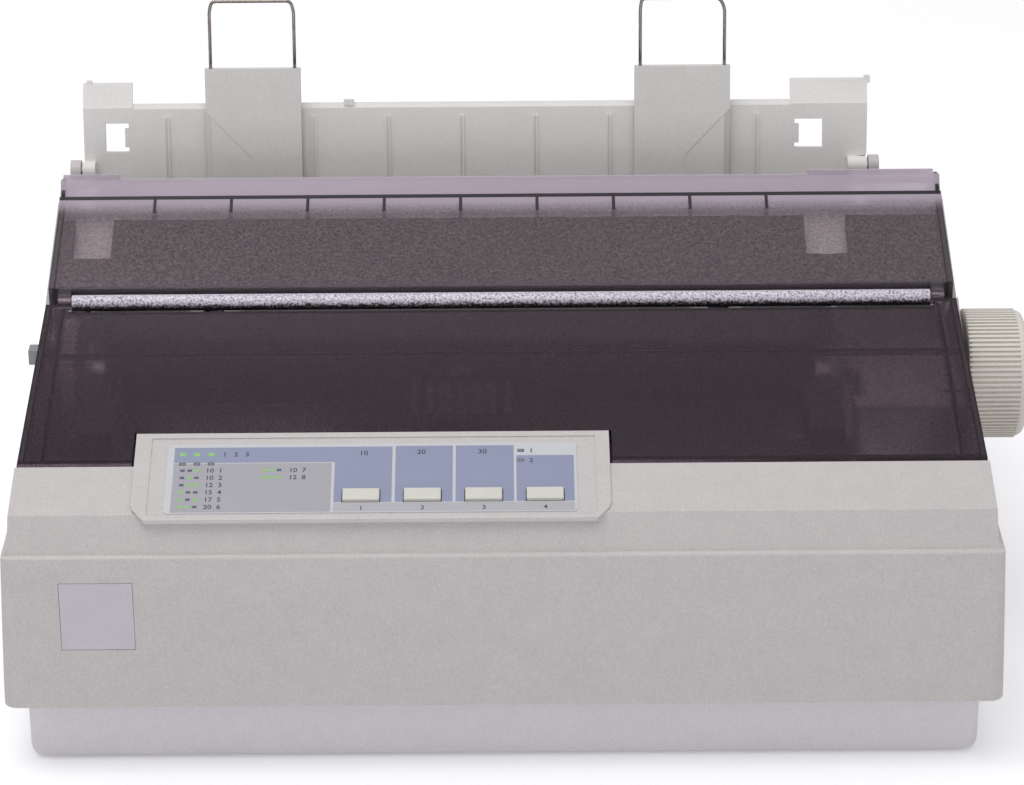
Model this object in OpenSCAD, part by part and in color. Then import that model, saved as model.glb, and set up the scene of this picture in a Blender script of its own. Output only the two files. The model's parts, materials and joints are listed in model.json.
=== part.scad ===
// Narrow-carriage dot matrix printer: case, smoked covers, paper path, carriage, drive and sheet guide.
// X runs left to right, Y front to back, Z up. The table top is at z = 0.

/* [Case] */
// Width of the case across the bottom of its front panel
case_w = 349; // [345:1:355]
// Depth of the case from the front panel to the rear wall
case_d = 275; // [273:1:282]
// How much each side leans in between the foot and the ledge of the front panel
side_draft = 2.5; // [1.5:0.5:3.5]
// Wall thickness of the case mouldings
wall = 2.5; // [2:0.1:2.8]
// Height of the front panel's lower edge
panel_low_z = 27.3; // [26.5:0.1:28]
// Height of the ledge across the front
ledge_z = 86; // [84:1:87]
// How far the base stands back behind the front panel
base_inset = 12; // [10:1:13]
// How far the base stands in from each side of the case
side_inset = 6.5; // [5:0.5:7]
// Height of the rubber feet under the base
foot_h = 1.5; // [1:0.1:2]

/* [Covers] */
// Height of the front edge of the smoked cover
cover_front_z = 106.9; // [106:0.1:108]
// Slope of the front cover in degrees
front_slope = 15; // [14.5:0.1:15.5]
// Slope of the rear cover in degrees
rear_slope = 24.4; // [23.5:0.1:25]
// Height of the top edge of the rear cover
cover_top_z = 159.8; // [158:0.1:162]
// Thickness of the smoked covers
cover_t = 2.2; // [1.8:0.1:2.4]
// Depth of the side skirts of the covers
skirt_h = 9; // [8:0.5:10]
// Radius of the barrel that joins the two covers
barrel_r = 2.9; // [2.6:0.1:3]
// Thickness of the sound-absorbing foam
foam_t = 4; // [2.5:0.5:4.5]

/* [Platen and paper path] */
// Radius of the rubber platen
platen_r = 12; // [11.5:0.1:12]
// Radius of the platen shaft
shaft_r = 4; // [3.5:0.1:4.2]
// Radius of the platen knob
knob_r = 23.8; // [22:0.1:24.5]
// Length of the platen knob
knob_len = 21.5; // [18:0.5:22]
// Thickness of the sheet-metal side frames
frame_t = 2; // [1.6:0.1:2.2]
// Tooth size of the paper-feed gears
gear_module = 1; // [1, 1]
// Width of the paper-feed gears
gear_w = 5; // [4:0.5:5]

/* [Carriage] */
// Radius of the carriage guide rod
rod_r = 5; // [4.5:0.1:5.2]
// Width of the carriage
carriage_w = 38; // [34:1:40]
// Distance between the two belt pulleys' centres
belt_span = 240; // [236:1:241]

/* [Control panel] */
// Width of one push button
button_w = 12.8; // [12:0.1:14]
// Depth of one push button
button_d = 5.6; // [5:0.1:6.2]
// Spacing of the push buttons
button_pitch = 21.1; // [20:0.1:22]
// Travel of the push buttons
button_travel = 0.8; // [0.5:0.1:0.8]

/* [Sheet guide] */
// How far the upright sheet guide leans back in degrees
guide_lean = 10; // [6:1:12]
// Height of the guide plate above its pivots
guide_h = 27.5; // [26:0.5:30]
// Thickness of the guide plate
guide_t = 2.2; // [1.8:0.1:2.4]
// Width of each edge guide
edge_w = 36.6; // [34:0.2:38]
// Height of the edge guides above the pivots
edge_h = 40.5; // [38:0.5:42]
// Thickness of the paper-support wire
wire_d = 1.3; // [1:0.1:1.4]
// Height of the paper-support wire above the edge guide
wire_up = 24.8; // [22:0.2:32]

/* [Hidden] */
$fn = 48;

seat = 0.3;             // gap between pieces that only rest near each other
run = 0.05;             // radial running clearance of shafts in bores
steel = "silver";
cream = [0.87, 0.87, 0.82];
casing = [0.80, 0.80, 0.77];
smoke = [0.30, 0.25, 0.28, 0.6];

case_half = case_w / 2;
ledge_half = case_half - side_draft;
knob_inner_x = ledge_half - 2;
knob_tip_x = knob_inner_x + knob_len;
shift_x = -(knob_tip_x - case_half) / 2;
shift_y = -case_d / 2;

// Side view of the case: facet above the ledge, then the light band up to the smoked cover
ledge_r = 1.5;
facet_y = 6.2;
facet_z = ledge_z + 12.9;
cover_y = 28.7;
band_slope = atan((cover_front_z - facet_z) / (cover_y - facet_y));
hinge_y = 121;
function front_top(y) = cover_front_z + (y - cover_y) * tan(front_slope);
function rear_top(y) = front_top(hinge_y) + (y - hinge_y) * tan(rear_slope);
bend_y = 167.5;
cover_back_y = 175;
deck_front_z = 132;
deck_back_z = 124;
back_r = 12;

base_x = case_half - side_inset;
base_back_y = case_d - 4;
base_top_z = panel_low_z - seat;
floor_z = foot_h + wall;

// Covers taper towards the back
function cover_half(y) = ledge_half - 3.5 - (y - cover_y) * 0.0215;
barrel_z = front_top(hinge_y) - barrel_r + 0.3;
barrel_half = cover_half(hinge_y) - 9;
knuckle_w = 5;

// Paper path and frames
frame_left_x = -ledge_half + 18;
motor_x = frame_left_x + 22;
idler_x = motor_x + belt_span;
frame_right_x = idler_x + 16;
frame_back_y = 206;
platen_y = 115;
platen_z = 101;
platen_left_x = frame_left_x + 9;
platen_right_x = frame_right_x - 8;
gear_left_x = frame_left_x - 1.5 - gear_w;
platen_teeth = 38;
reduction_teeth = 24;
pinion_teeth = 12;
transfer_teeth = 40;
tractor_teeth = 20;
function pitch_r(teeth) = gear_module * teeth / 2;
reduction_angle = -60;
reduction_y = platen_y + (pitch_r(platen_teeth) + pitch_r(reduction_teeth)) * cos(reduction_angle);
reduction_z = platen_z + (pitch_r(platen_teeth) + pitch_r(reduction_teeth)) * sin(reduction_angle);
pinion_y = reduction_y;
pinion_z = reduction_z - pitch_r(reduction_teeth) - pitch_r(pinion_teeth);
transfer_angle = 16;
transfer_reach = pitch_r(reduction_teeth) + pitch_r(transfer_teeth);
transfer_y = reduction_y + transfer_reach * cos(transfer_angle);
transfer_z = reduction_z + transfer_reach * sin(transfer_angle);
tractor_reach = pitch_r(transfer_teeth) + pitch_r(tractor_teeth);
tractor_y = transfer_y + tractor_reach * cos(transfer_angle);
tractor_z = transfer_z + tractor_reach * sin(transfer_angle);
stud_r = 2.5;
tractor_shaft_r = 3;
tractor_rod_y = tractor_y + 26;

// Rotation that puts gear b in mesh with gear a, seen along the line from a to b
function mesh(line, turn_a, teeth_a, teeth_b) =
  line + 180 - (0.5 - (line - turn_a) * teeth_a / 360) * 360 / teeth_b;
reduction_turn = 0;
platen_turn = mesh(reduction_angle + 180, reduction_turn, reduction_teeth, platen_teeth);
pinion_turn = mesh(-90, reduction_turn, reduction_teeth, pinion_teeth);
transfer_turn = mesh(transfer_angle, reduction_turn, reduction_teeth, transfer_teeth);
tractor_turn = mesh(transfer_angle, transfer_turn, transfer_teeth, tractor_teeth);

// Carriage
rod_y = 78;
rod_z = 72;
carriage_x = (platen_left_x + platen_right_x) / 2;
head_y0 = 63;
nose_y = platen_y - platen_r - 1.4;
rail_y = 44;
rail_t = 1.2;
rail_top_z = 76;
rail_low_z = 63;
belt_z = 68;
belt_h = 6;
belt_t = 1;
pulley_r = 6;
belt_y = 58;
shelf_z = 62;
shelf_t = 1.8;

// Control panel, in its own sloping frame: u runs up the slope, w stands out of it
boss_left_x = -127.6;
boss_right_x = 37.3;
boss_low_u = -3.6;
boss_high_u = 39.6;
boss_face_w = 0.8;
overlay_left_x = -116.2;
overlay_right_x = 25.8;
overlay_high_u = 33.4;
overlay_w = 0.4;
overlay_t = 0.25;
button_u = 7.9;
first_button_x = -48.6;
board_w = -9.5;
board_t = 1.5;
lamps = [[-110.8, 23.9], [-105.8, 23.9], [-100.9, 23.9], [6.5, 29.4], [6.5, 24.7]];
lamp_size = [1.9, 1.1];

// Sheet guide
pivot_y = 205;
pivot_z = 149;
pivot_r = 1.6;
left_lug_x = -ledge_half + 6.5;
right_lug_x = ledge_half - 30;
guide_left_x = left_lug_x + 24;
guide_right_x = right_lug_x - 30;
lug_w = 4;
rib_pitch = 28.4;
rib_count = 9;
left_edge_x = guide_left_x + 28.7;
right_edge_x = guide_right_x - 60.2;

module placed() translate([shift_x, shift_y, 0]) children();

// Extrudes a Y-Z outline along X
module along_x(x0, x1) translate([x0, 0, 0]) rotate([90, 0, 90]) linear_extrude(x1 - x0) children();
// Extrudes an X-Z outline along Y
module along_y(y0, y1) translate([0, y1, 0]) rotate([90, 0, 0]) linear_extrude(y1 - y0) children();
module rod_x(r, x0, x1, y, z) translate([x0, y, z]) rotate([0, 90, 0]) cylinder(r = r, h = x1 - x0);
module box(low, high) translate(low) cube(high - low);
function arc(cy, cz, r, from, to, steps = 6) =
  [for (i = [0 : steps]) let (a = from + (to - from) * i / steps) [cy + r * cos(a), cz + r * sin(a)]];
module rounded(x0, y0, x1, y1, r) {
  translate([x0 + r, y0]) square([x1 - x0 - 2 * r, y1 - y0]);
  translate([x0, y0 + r]) square([x1 - x0, y1 - y0 - 2 * r]);
  for (x = [x0 + r, x1 - r], y = [y0 + r, y1 - r]) translate([x, y]) circle(r);
}
module panel_frame() translate([0, facet_y, facet_z]) rotate([band_slope, 0, 0]) children();
module guide_frame() translate([0, pivot_y, pivot_z]) rotate([-guide_lean, 0, 0]) children();

// ---- base ----
base_edge_r = 4;
post_places = [for (x = [-base_x + 8, base_x - 10], y = [base_inset + 12, base_back_y - 13]) [x, y]];
foot_places = [for (x = [-base_x + 28, base_x - 28], y = [base_inset + 28, base_back_y - 26]) [x, y]];
foot_sink = 1;

module base_shape(inset) intersection() {
  translate([0, 0, foot_h + inset])
    linear_extrude(base_top_z - foot_h + inset)
      rounded(-base_x + inset, base_inset + inset, base_x - inset, base_back_y - inset, base_edge_r + 1);
  along_y(0, case_d) polygon(concat(
    [[-base_x + inset, 60], [-base_x + inset, foot_h + base_edge_r]],
    arc(-base_x + inset + base_edge_r, foot_h + inset + base_edge_r, base_edge_r, 180, 270),
    arc(base_x - inset - base_edge_r, foot_h + inset + base_edge_r, base_edge_r, 270, 360),
    [[base_x - inset, 60]]));
}

module base_tray() color(casing) difference() {
  union() {
    difference() {
      base_shape(0);
      base_shape(wall);
      box([-base_x - 1, 0, base_top_z], [base_x + 1, case_d, 80]);
    }
    for (p = post_places) translate([p[0], p[1], foot_h]) cylinder(r = 6, h = 6);
  }
  for (p = post_places) translate([p[0], p[1], 0]) {
    cylinder(r = 1.8, h = 30);
    cylinder(r = 3.8, h = foot_h + 3.2);
  }
  for (p = foot_places) translate([p[0], p[1], 0]) cylinder(r = 7.2, h = foot_h + foot_sink);
  connector_holes();
  for (i = [0 : 11]) box([-120 + i * 8, 150, 0], [-116 + i * 8, 190, 10]);
}

module rubber_feet() color("dimgray")
  for (p = foot_places) translate([p[0], p[1], 0]) cylinder(r = 7, h = foot_h + foot_sink);

module case_screws() color(steel)
  for (p = post_places) translate([p[0], p[1], foot_h + 0.8]) {
    cylinder(r = 3.4, h = 2.4);
    cylinder(r = 1.5, h = 14);
  }

// ---- upper case ----
module case_side(inset) polygon(concat(
  [[inset, panel_low_z + inset]],
  arc(ledge_r + inset, ledge_z - ledge_r - inset / 2, ledge_r, 180, 90, 4),
  [[ledge_r + 0.4 + inset, ledge_z - inset / 2]],
  [[facet_y + inset * 0.7, facet_z - inset * 0.7], [cover_y - seat, cover_front_z - inset - 0.2]],
  inset > 0 ? [[cover_y - seat, front_top(cover_y) - skirt_h - inset - 2]] : [],
  [for (y = [cover_y - seat, hinge_y, bend_y, cover_back_y + seat])
    [y, (y > hinge_y ? rear_top(y) : front_top(y)) - skirt_h - seat - inset]],
  [[cover_back_y + 4, rear_top(cover_back_y) - skirt_h - inset], [cover_back_y + 12, deck_front_z - inset]],
  arc(case_d - inset - back_r, deck_back_z - inset - back_r, back_r, 84, 0),
  [[case_d - inset, panel_low_z + inset]]));

module case_front(inset) polygon([
  [-case_half + inset, panel_low_z - 1], [-ledge_half + inset, ledge_z],
  [-ledge_half + inset + 2.2, ledge_z + 2.2], [-ledge_half + inset + 5, 160],
  [ledge_half - inset - 5, 160], [ledge_half - inset - 2.2, ledge_z + 2.2],
  [ledge_half - inset, ledge_z], [case_half - inset, panel_low_z - 1]]);

module case_body(inset) intersection() {
  along_x(-case_half, case_half) case_side(inset);
  along_y(0, case_d) case_front(inset);
  translate([0, 0, 10]) linear_extrude(160)
    rounded(-case_half + inset, inset, case_half - inset, case_d - inset, 5);
}

module screw_posts() for (p = post_places) {
  side = sign(p[0]);
  translate([p[0], p[1], foot_h + 6 + seat]) cylinder(r = 4.5, h = 46);
  box([min(p[0], side * (ledge_half + 0.3)), p[1] - 1, panel_low_z + 4],
      [max(p[0], side * (ledge_half + 0.3)), p[1] + 1, foot_h + 48]);
}

module control_boss() panel_frame() {
  along_x(boss_left_x, boss_right_x) polygon([
    [boss_low_u, -0.6], [boss_low_u + 0.6, boss_face_w - 0.3], [boss_low_u + 1.4, boss_face_w],
    [boss_high_u - 0.8, boss_face_w], [boss_high_u, boss_face_w - 0.8], [boss_high_u, -7],
    [boss_high_u - 2.2, -7], [boss_high_u - 2.2, -1.7], [1, -1.7], [-0.6, -5]]);
  for (x = [boss_left_x, boss_right_x - 2.2])
    box([x, 20, -7], [x + 2.2, boss_high_u, 0]);
  for (x = [overlay_left_x + 5, overlay_right_x - 2], u = [2.5, 29])
    translate([x, u, board_w + board_t]) cylinder(r = 2, h = -board_w - board_t - 1);
}

module panel_cuts() panel_frame() {
  box([overlay_left_x + 0.7, 0.7, board_w - seat], [overlay_right_x + 4.3, 31.3, board_w + board_t]);
  box([boss_left_x + 5.6, boss_low_u + 2.6, overlay_w], [boss_right_x - 4.8, boss_high_u - 3.2, 5]);
  for (i = [0 : 3]) translate([first_button_x + i * button_pitch, button_u, -8])
    linear_extrude(12) square([button_w + 0.6, button_d + 0.6], center = true);
  for (p = lamps) translate([p[0], p[1], -6]) linear_extrude(10)
    square([lamp_size[0] + 0.4, lamp_size[1] + 0.4], center = true);
}

// Sloping deck under the rear cover, which the single sheets slide down behind
deck_y0 = 141;
deck_y1 = 171.5;
deck_drop = skirt_h + seat + 0.1;
deck_t = 1.8;
module paper_deck() {
  along_x(-ledge_half + 6, ledge_half - 6) polygon([
    [deck_y0, rear_top(deck_y0) - deck_drop], [deck_y1, rear_top(deck_y1) - deck_drop],
    [deck_y1, rear_top(deck_y1) - deck_drop - 4], [deck_y1 - deck_t, rear_top(deck_y1) - deck_drop - 4],
    [deck_y1 - deck_t, rear_top(deck_y1 - deck_t) - deck_drop - deck_t],
    [deck_y0, rear_top(deck_y0) - deck_drop - deck_t]]);
}

// Level shelf beside the mechanism, over the platen shaft, with a slot for the thickness lever
side_deck_y0 = 69;
side_deck_y1 = 128;
side_deck_z = 108;
module side_deck() difference() {
  box([frame_right_x + frame_t + 0.8, side_deck_y0, side_deck_z - deck_t],
      [ledge_half - 5, side_deck_y1, side_deck_z]);
  box([frame_right_x, tl_y - 13, side_deck_z - 5],
      [frame_right_x + frame_t + 5.5, tl_y + 13, side_deck_z + 1]);
}

knob_pocket_r = knob_r + 1.7;
badge_x = -ledge_half + 19.1;
badge_w = 25.7;
badge = [badge_x, 50, badge_x + badge_w, 76];

module upper_case() color(casing) difference() {
  union() {
    difference() {
      case_body(0);
      case_body(wall);
      intersection() {
        box([-case_half, cover_y + 2, 90], [case_half, cover_back_y + 2, 200]);
        along_y(0, case_d) case_front(wall);
      }
      box([left_lug_x + lug_w + 1.5, cover_back_y - 5, 90], [right_lug_x - 3, case_d - 13, 200]);
      box([-base_x + wall + seat, base_inset + wall + seat, 10],
          [base_x - wall - seat, base_back_y - wall - seat, panel_low_z + wall + 1]);
    }
    screw_posts();
    paper_deck();
    side_deck();
    control_boss();
    intersection() {
      rod_x(knob_pocket_r + 2.5, knob_inner_x - 4.4, knob_inner_x - 1, platen_y, platen_z);
      along_x(0, case_half) case_side(0);
    }
    guide_lugs();
  }
  panel_cuts();
  rod_x(knob_pocket_r, knob_inner_x - 1, case_half + 5, platen_y, platen_z);
  rod_x(shaft_r + 3, knob_inner_x - 8, case_half, platen_y, platen_z);
  for (p = post_places) translate([p[0], p[1], 0]) cylinder(r = 1.5 + run, h = foot_h + 16);
  box([badge[0], -1, badge[1]], [badge[2], 0.5, badge[3]]);
  box([-case_half - 1, lever_y - 11, 110.3], [-ledge_half + 8, lever_y + 14, 140]);
  switch_hole();
  connector_holes();
  for (i = [0 : 9]) box([case_half - 12, 70 + i * 8, 44], [case_half + 2, 74 + i * 8, 62]);
}

module guide_lugs() for (x = [left_lug_x, right_lug_x])
  difference() {
    along_x(x, x + lug_w) {
      translate([pivot_y, pivot_z]) circle(4);
      translate([pivot_y - 4, deck_front_z - 8]) square([8, pivot_z - deck_front_z + 8]);
    }
    rod_x(pivot_r + run, x - 1, x + lug_w + 1, pivot_y, pivot_z);
  }

// ---- panel pieces ----
module panel_overlay() color("lightsteelblue") panel_frame() difference() {
  translate([0, 0, overlay_w]) linear_extrude(overlay_t)
    rounded(overlay_left_x, 0, overlay_right_x, overlay_high_u, 1.5);
  for (i = [0 : 3]) translate([first_button_x + i * button_pitch, button_u, -8])
    linear_extrude(12) square([button_w + 0.6, button_d + 0.6], center = true);
  for (p = lamps) translate([p[0], p[1], -6]) linear_extrude(10)
    square([lamp_size[0] + 0.4, lamp_size[1] + 0.4], center = true);
}

switch_top_w = -4.2 - button_travel - 0.1;
module panel_board() color("darkgreen") panel_frame() {
  box([overlay_left_x + 1, 1, board_w], [overlay_right_x + 4, 31, board_w + board_t]);
  for (i = [0 : 3]) translate([first_button_x + i * button_pitch, button_u, board_w + board_t]) {
    translate([-3, -3, 0]) cube([6, 6, 1.6]);
    cylinder(r = 1.6, h = switch_top_w - board_w - board_t);
  }
}

module led_lamps() color("dimgray") panel_frame()
  for (p = lamps) translate([p[0] - lamp_size[0] / 2, p[1] - lamp_size[1] / 2, board_w + board_t])
    cube([lamp_size[0], lamp_size[1], overlay_w + overlay_t - board_w - board_t]);

module button(index) color(cream) panel_frame()
  translate([first_button_x + index * button_pitch, button_u, 0]) {
    box([-button_w / 2, -button_d / 2, -3.2], [button_w / 2, button_d / 2, 1.9]);
    box([-button_w / 2 - 1, -button_d / 2 - 1, -4.2], [button_w / 2 + 1, button_d / 2 + 1, -2.8]);
  }
module font_button() button(0);
module feed_button() button(1);
module load_button() button(2);
module pause_button() button(3);

module badge_plate() color("lavender")
  box([badge[0] + 0.2, 0.1, badge[1] + 0.2], [badge[2] - 0.2, 0.5, badge[3] - 0.2]);

// ---- side frames ----
frame_top_z = 82;
module frame_outline() polygon([
  [40, floor_z], [frame_back_y + 20, floor_z], [frame_back_y + 20, 60], [frame_back_y + 16, 72],
  [frame_back_y + 16, 104], [160, 112], [130, 118], [105, 117], [98, frame_top_z], [64, frame_top_z],
      [40, 80]]);

module frame_sheet(x, shelf_from, shelf_to) difference() {
  union() {
    along_x(x, x + frame_t) difference() {
      frame_outline();
      translate([68, 22]) square([34, 24]);
      translate([150, 20]) circle(10);
    }
    box([shelf_from, 46, shelf_z], [shelf_to, 70, shelf_z + shelf_t]);
  }
  rod_x(rod_r + run, x - 1, x + frame_t + 1, rod_y, rod_z);
  rod_x(tractor_shaft_r + run, x - 1, x + frame_t + 1, tractor_y, tractor_z);
  rod_x(tractor_shaft_r + run, x - 1, x + frame_t + 1, tractor_rod_y, tractor_z);
  rod_x(shaft_r + 3, x - 1, x + frame_t + 1, platen_y, platen_z);
}

module left_frame() color("lightgray") difference() {
  union() {
    frame_sheet(frame_left_x, frame_left_x + 0.5, motor_x + 18);
    for (p = [[reduction_y, reduction_z], [transfer_y, transfer_z]])
      rod_x(stud_r, gear_left_x - 0.5, frame_left_x + 0.5, p[0], p[1]);
    for (p = [[reduction_y, reduction_z], [transfer_y, transfer_z]])
      rod_x(stud_r + 2, frame_left_x - 1, frame_left_x + 0.5, p[0], p[1]);
    rod_x(2, frame_left_x - 12, frame_left_x + 0.5, lever_y, lever_z);
  }
  rod_x(4, frame_left_x - 1, frame_left_x + frame_t + 1, pinion_y, pinion_z);
  translate([motor_x, belt_y, shelf_z - 1]) cylinder(r = 4.5, h = 5);
}

module right_frame() color("lightgray") difference() {
  union() {
    frame_sheet(frame_right_x, idler_x - 8, frame_right_x + 0.5);
    translate([idler_x, belt_y, shelf_z + 0.5]) cylinder(r = 2, h = belt_z + belt_h + 1.5 - shelf_z);
    rod_x(2, frame_right_x, frame_right_x + frame_t + 6, tl_y, tl_z);
  }
}

cross_low_z = 30;
cross_t = 1.5;
module cross_rail() color("lightgray") {
  box([frame_left_x + frame_t, frame_back_y, cross_low_z],
      [frame_right_x, frame_back_y + cross_t, cross_low_z + 28]);
  box([frame_left_x + frame_t, frame_back_y, cross_low_z],
      [frame_right_x, frame_back_y + 16, cross_low_z + cross_t]);
}

rail_slot_w = 26;
rail_slot_pitch = 42;
module front_rail() color("lightgray") difference() {
  union() {
    box([frame_left_x + frame_t, rail_y, rail_low_z], [frame_right_x, rail_y + rail_t, rail_top_z]);
    box([frame_left_x + frame_t, rail_y - 8, rail_low_z],
        [frame_right_x, rail_y + rail_t, rail_low_z + rail_t]);
  }
  for (x = [frame_left_x + 24 : rail_slot_pitch : frame_right_x - 40])
    box([x, rail_y - 1, rail_low_z + 2.5], [x + rail_slot_w, rail_y + 2, rail_low_z + 6.5]);
}

module guide_rod() color(steel) rod_x(rod_r, frame_left_x - 1, frame_right_x + frame_t + 1, rod_y, rod_z);

module platen_bushes() color("ivory") difference() {
  union() for (x = [frame_left_x, frame_right_x]) {
    rod_x(shaft_r + 3 - run, x - 0.5, x + frame_t + 0.5, platen_y, platen_z);
    rod_x(shaft_r + 5, x + (x < 0 ? frame_t + 0.1 : -1.6), x + (x < 0 ? frame_t + 1.6 : -0.1), platen_y,
        platen_z);
  }
  rod_x(shaft_r + run, frame_left_x - 5, frame_right_x + 9, platen_y, platen_z);
}

pan_r = platen_r + 1.5;
module paper_pan() color("gray") along_x(frame_left_x + frame_t + seat, frame_right_x - seat)
  polygon(concat(
    arc(platen_y, platen_z, pan_r, 215, 340, 20),
    [[platen_y + 60, platen_z - 2], [platen_y + 60, platen_z - 3.5]],
    arc(platen_y, platen_z, pan_r + 1.5, 336, 215, 20)));

// ---- gears ----
pressure_angle = 20;
backlash = 0.12;
function involute_x(rb, t) = rb * (cos(t) + t * PI / 180 * sin(t));
function involute_y(rb, t) = rb * (sin(t) - t * PI / 180 * cos(t));
function roll_at(rb, r) = r > rb ? sqrt((r / rb) * (r / rb) - 1) * 180 / PI : 0;
function inv_angle(t) = t - atan(t * PI / 180);

module gear_outline(teeth, turn) {
  rp = pitch_r(teeth);
  rb = rp * cos(pressure_angle);
  ra = rp + gear_module * 0.95;
  rf = rp - gear_module * 1.2;
  half = 90 / teeth - backlash / rp * 90 / PI + inv_angle(roll_at(rb, rp));
  top = roll_at(rb, ra);
  low = roll_at(rb, max(rf, rb));
  steps = 4;
  polygon([for (i = [0 : teeth - 1]) let (at = turn + i * 360 / teeth) each concat(
    [[rf * cos(at - half), rf * sin(at - half)]],
    [for (k = [0 : steps]) let (t = low + (top - low) * k / steps, r = norm([involute_x(rb, t),
        involute_y(rb, t)]),
      a = at - half + inv_angle(t)) [r * cos(a), r * sin(a)]],
    [for (k = [steps : -1 : 0]) let (t = low + (top - low) * k / steps, r = norm([involute_x(rb, t),
        involute_y(rb, t)]),
      a = at + half - inv_angle(t)) [r * cos(a), r * sin(a)]],
    [[rf * cos(at + half), rf * sin(at + half)]])]);
}

module gear(teeth, y, z, turn, bore) along_x(gear_left_x, gear_left_x + gear_w)
  translate([y, z]) difference() {
    gear_outline(teeth, turn);
    circle(bore);
    if (teeth > 30) for (a = [0 : 60 : 300]) rotate(a) translate([pitch_r(teeth) * 0.55,
        0]) circle(pitch_r(teeth) * 0.16);
  }

module platen_gear() color("white") gear(platen_teeth, platen_y, platen_z, platen_turn, shaft_r);
module reduction_gear() color("white") gear(reduction_teeth, reduction_y, reduction_z, reduction_turn,
    stud_r + run);
module transfer_gear() color("white") gear(transfer_teeth, transfer_y, transfer_z, transfer_turn,
    stud_r + run);
module feed_pinion() color("goldenrod") gear(pinion_teeth, pinion_y, pinion_z, pinion_turn, 1.5 + run);

module feed_motor() color("dimgray") {
  rod_x(16, frame_left_x + frame_t + 0.1, frame_left_x + frame_t + 20, pinion_y, pinion_z);
  rod_x(1.5, gear_left_x - 0.5, frame_left_x + frame_t + 1, pinion_y, pinion_z);
}

// ---- platen ----
module platen_shaft() color(steel) rod_x(shaft_r, gear_left_x - 1, knob_tip_x - 6, platen_y, platen_z);

module platen_roller() color("darkslategray") difference() {
  rod_x(platen_r, platen_left_x, platen_right_x, platen_y, platen_z);
  rod_x(shaft_r, platen_left_x - 1, platen_right_x + 1, platen_y, platen_z);
}

knob_ribs = 80;
module platen_knob() color(cream) translate([knob_inner_x, platen_y, platen_z]) rotate([0, 90,
    0]) difference() {
  union() {
    rotate_extrude($fn = 96) polygon(concat(
      [[0, 0], [knob_r - 1.8, 0], [knob_r - 0.8, 1]], [[knob_r - 0.8, knob_len - 3]],
      [for (a = [0 : 15 : 90]) [knob_r - 3 + 2.4 * cos(a), knob_len - 3 + 3 * sin(a)]], [[0, knob_len]]));
    linear_extrude(knob_len - 3) for (i = [0 : knob_ribs - 1]) rotate(i * 360 / knob_ribs)
      translate([knob_r - 1.2, -0.42]) square([1.2, 0.84]);
  }
  translate([0, 0, -1]) cylinder(r = shaft_r, h = knob_len - 5);
  translate([0, 0, knob_len - 1.2]) cylinder(r = knob_r - 7, h = 3);
}

// ---- carriage ----
module carriage_frame() color("dimgray") difference() {
  union() {
    box([carriage_x - carriage_w / 2, rod_y - 12, rod_z - 7],
        [carriage_x + carriage_w / 2, rod_y + 12, rod_z + 11]);
    box([carriage_x - carriage_w / 2, rail_y - 3, rail_top_z + 1.5],
        [carriage_x + carriage_w / 2, rod_y, rail_top_z + 4]);
    box([carriage_x - 6, belt_y + pulley_r + belt_t + run, belt_z - 1],
        [carriage_x + 6, rod_y - 11, belt_z + belt_h + 1]);
    box([carriage_x - 8, rail_y - 1.5, 70], [carriage_x + 8, rail_y - seat, rail_top_z + 3]);
    box([carriage_x - 8, rail_y + rail_t + seat, 70],
        [carriage_x + 8, rail_y + rail_t + 1.5, rail_top_z + 3]);
  }
  rod_x(rod_r + run, -100, 100, rod_y, rod_z);
}

head_low_z = rod_z + 11.2;
module print_head() color("darkgray") {
  fin_count = 7;
  box([carriage_x - 18, head_y0 + 1, head_low_z], [carriage_x + 18, nose_y - 12, head_low_z + 8]);
  for (i = [0 : fin_count - 1])
    box([carriage_x - 18 + i * 5.6, head_y0, head_low_z + 7],
        [carriage_x - 15.6 + i * 5.6, nose_y - 12, head_low_z + 26]);
  box([carriage_x - 9, head_y0 + 6, head_low_z + 7], [carriage_x + 9, nose_y - 8, head_low_z + 22]);
  box([carriage_x - 4, nose_y - 9, platen_z - 9], [carriage_x + 4, nose_y, platen_z + 9]);
}

module carriage_motor() color("dimgray") translate([motor_x, belt_y, 0]) {
  translate([0, 0, shelf_z - 32]) cylinder(r = 17, h = 31.9);
  cylinder_z(4.3, shelf_z - 0.2, shelf_z + shelf_t);
  cylinder_z(1.5, shelf_z, belt_z + belt_h + 1);
}
module cylinder_z(r, z0, z1) translate([0, 0, z0]) cylinder(r = r, h = z1 - z0);

module pulley(x, bore) translate([x, belt_y, 0]) difference() {
  union() {
    cylinder_z(pulley_r - 0.05, belt_z - 0.4, belt_z + belt_h + 0.4);
    cylinder_z(pulley_r + 1.2, belt_z - 1.4, belt_z - 0.3);
    cylinder_z(pulley_r + 1.2, belt_z + belt_h + 0.3, belt_z + belt_h + 1.1);
  }
  cylinder_z(bore, 0, 100);
}
module motor_pulley() color("gold") pulley(motor_x, 1.5 + run);
module idler_pulley() color("white") pulley(idler_x, 2 + run);

module belt_path(r) {
  for (x = [motor_x, idler_x]) translate([x, belt_y]) circle(r);
  translate([motor_x, belt_y - r]) square([idler_x - motor_x, 2 * r]);
}
module drive_belt() color("black") translate([0, 0, belt_z]) linear_extrude(belt_h) difference() {
  belt_path(pulley_r + belt_t);
  belt_path(pulley_r);
}

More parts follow.
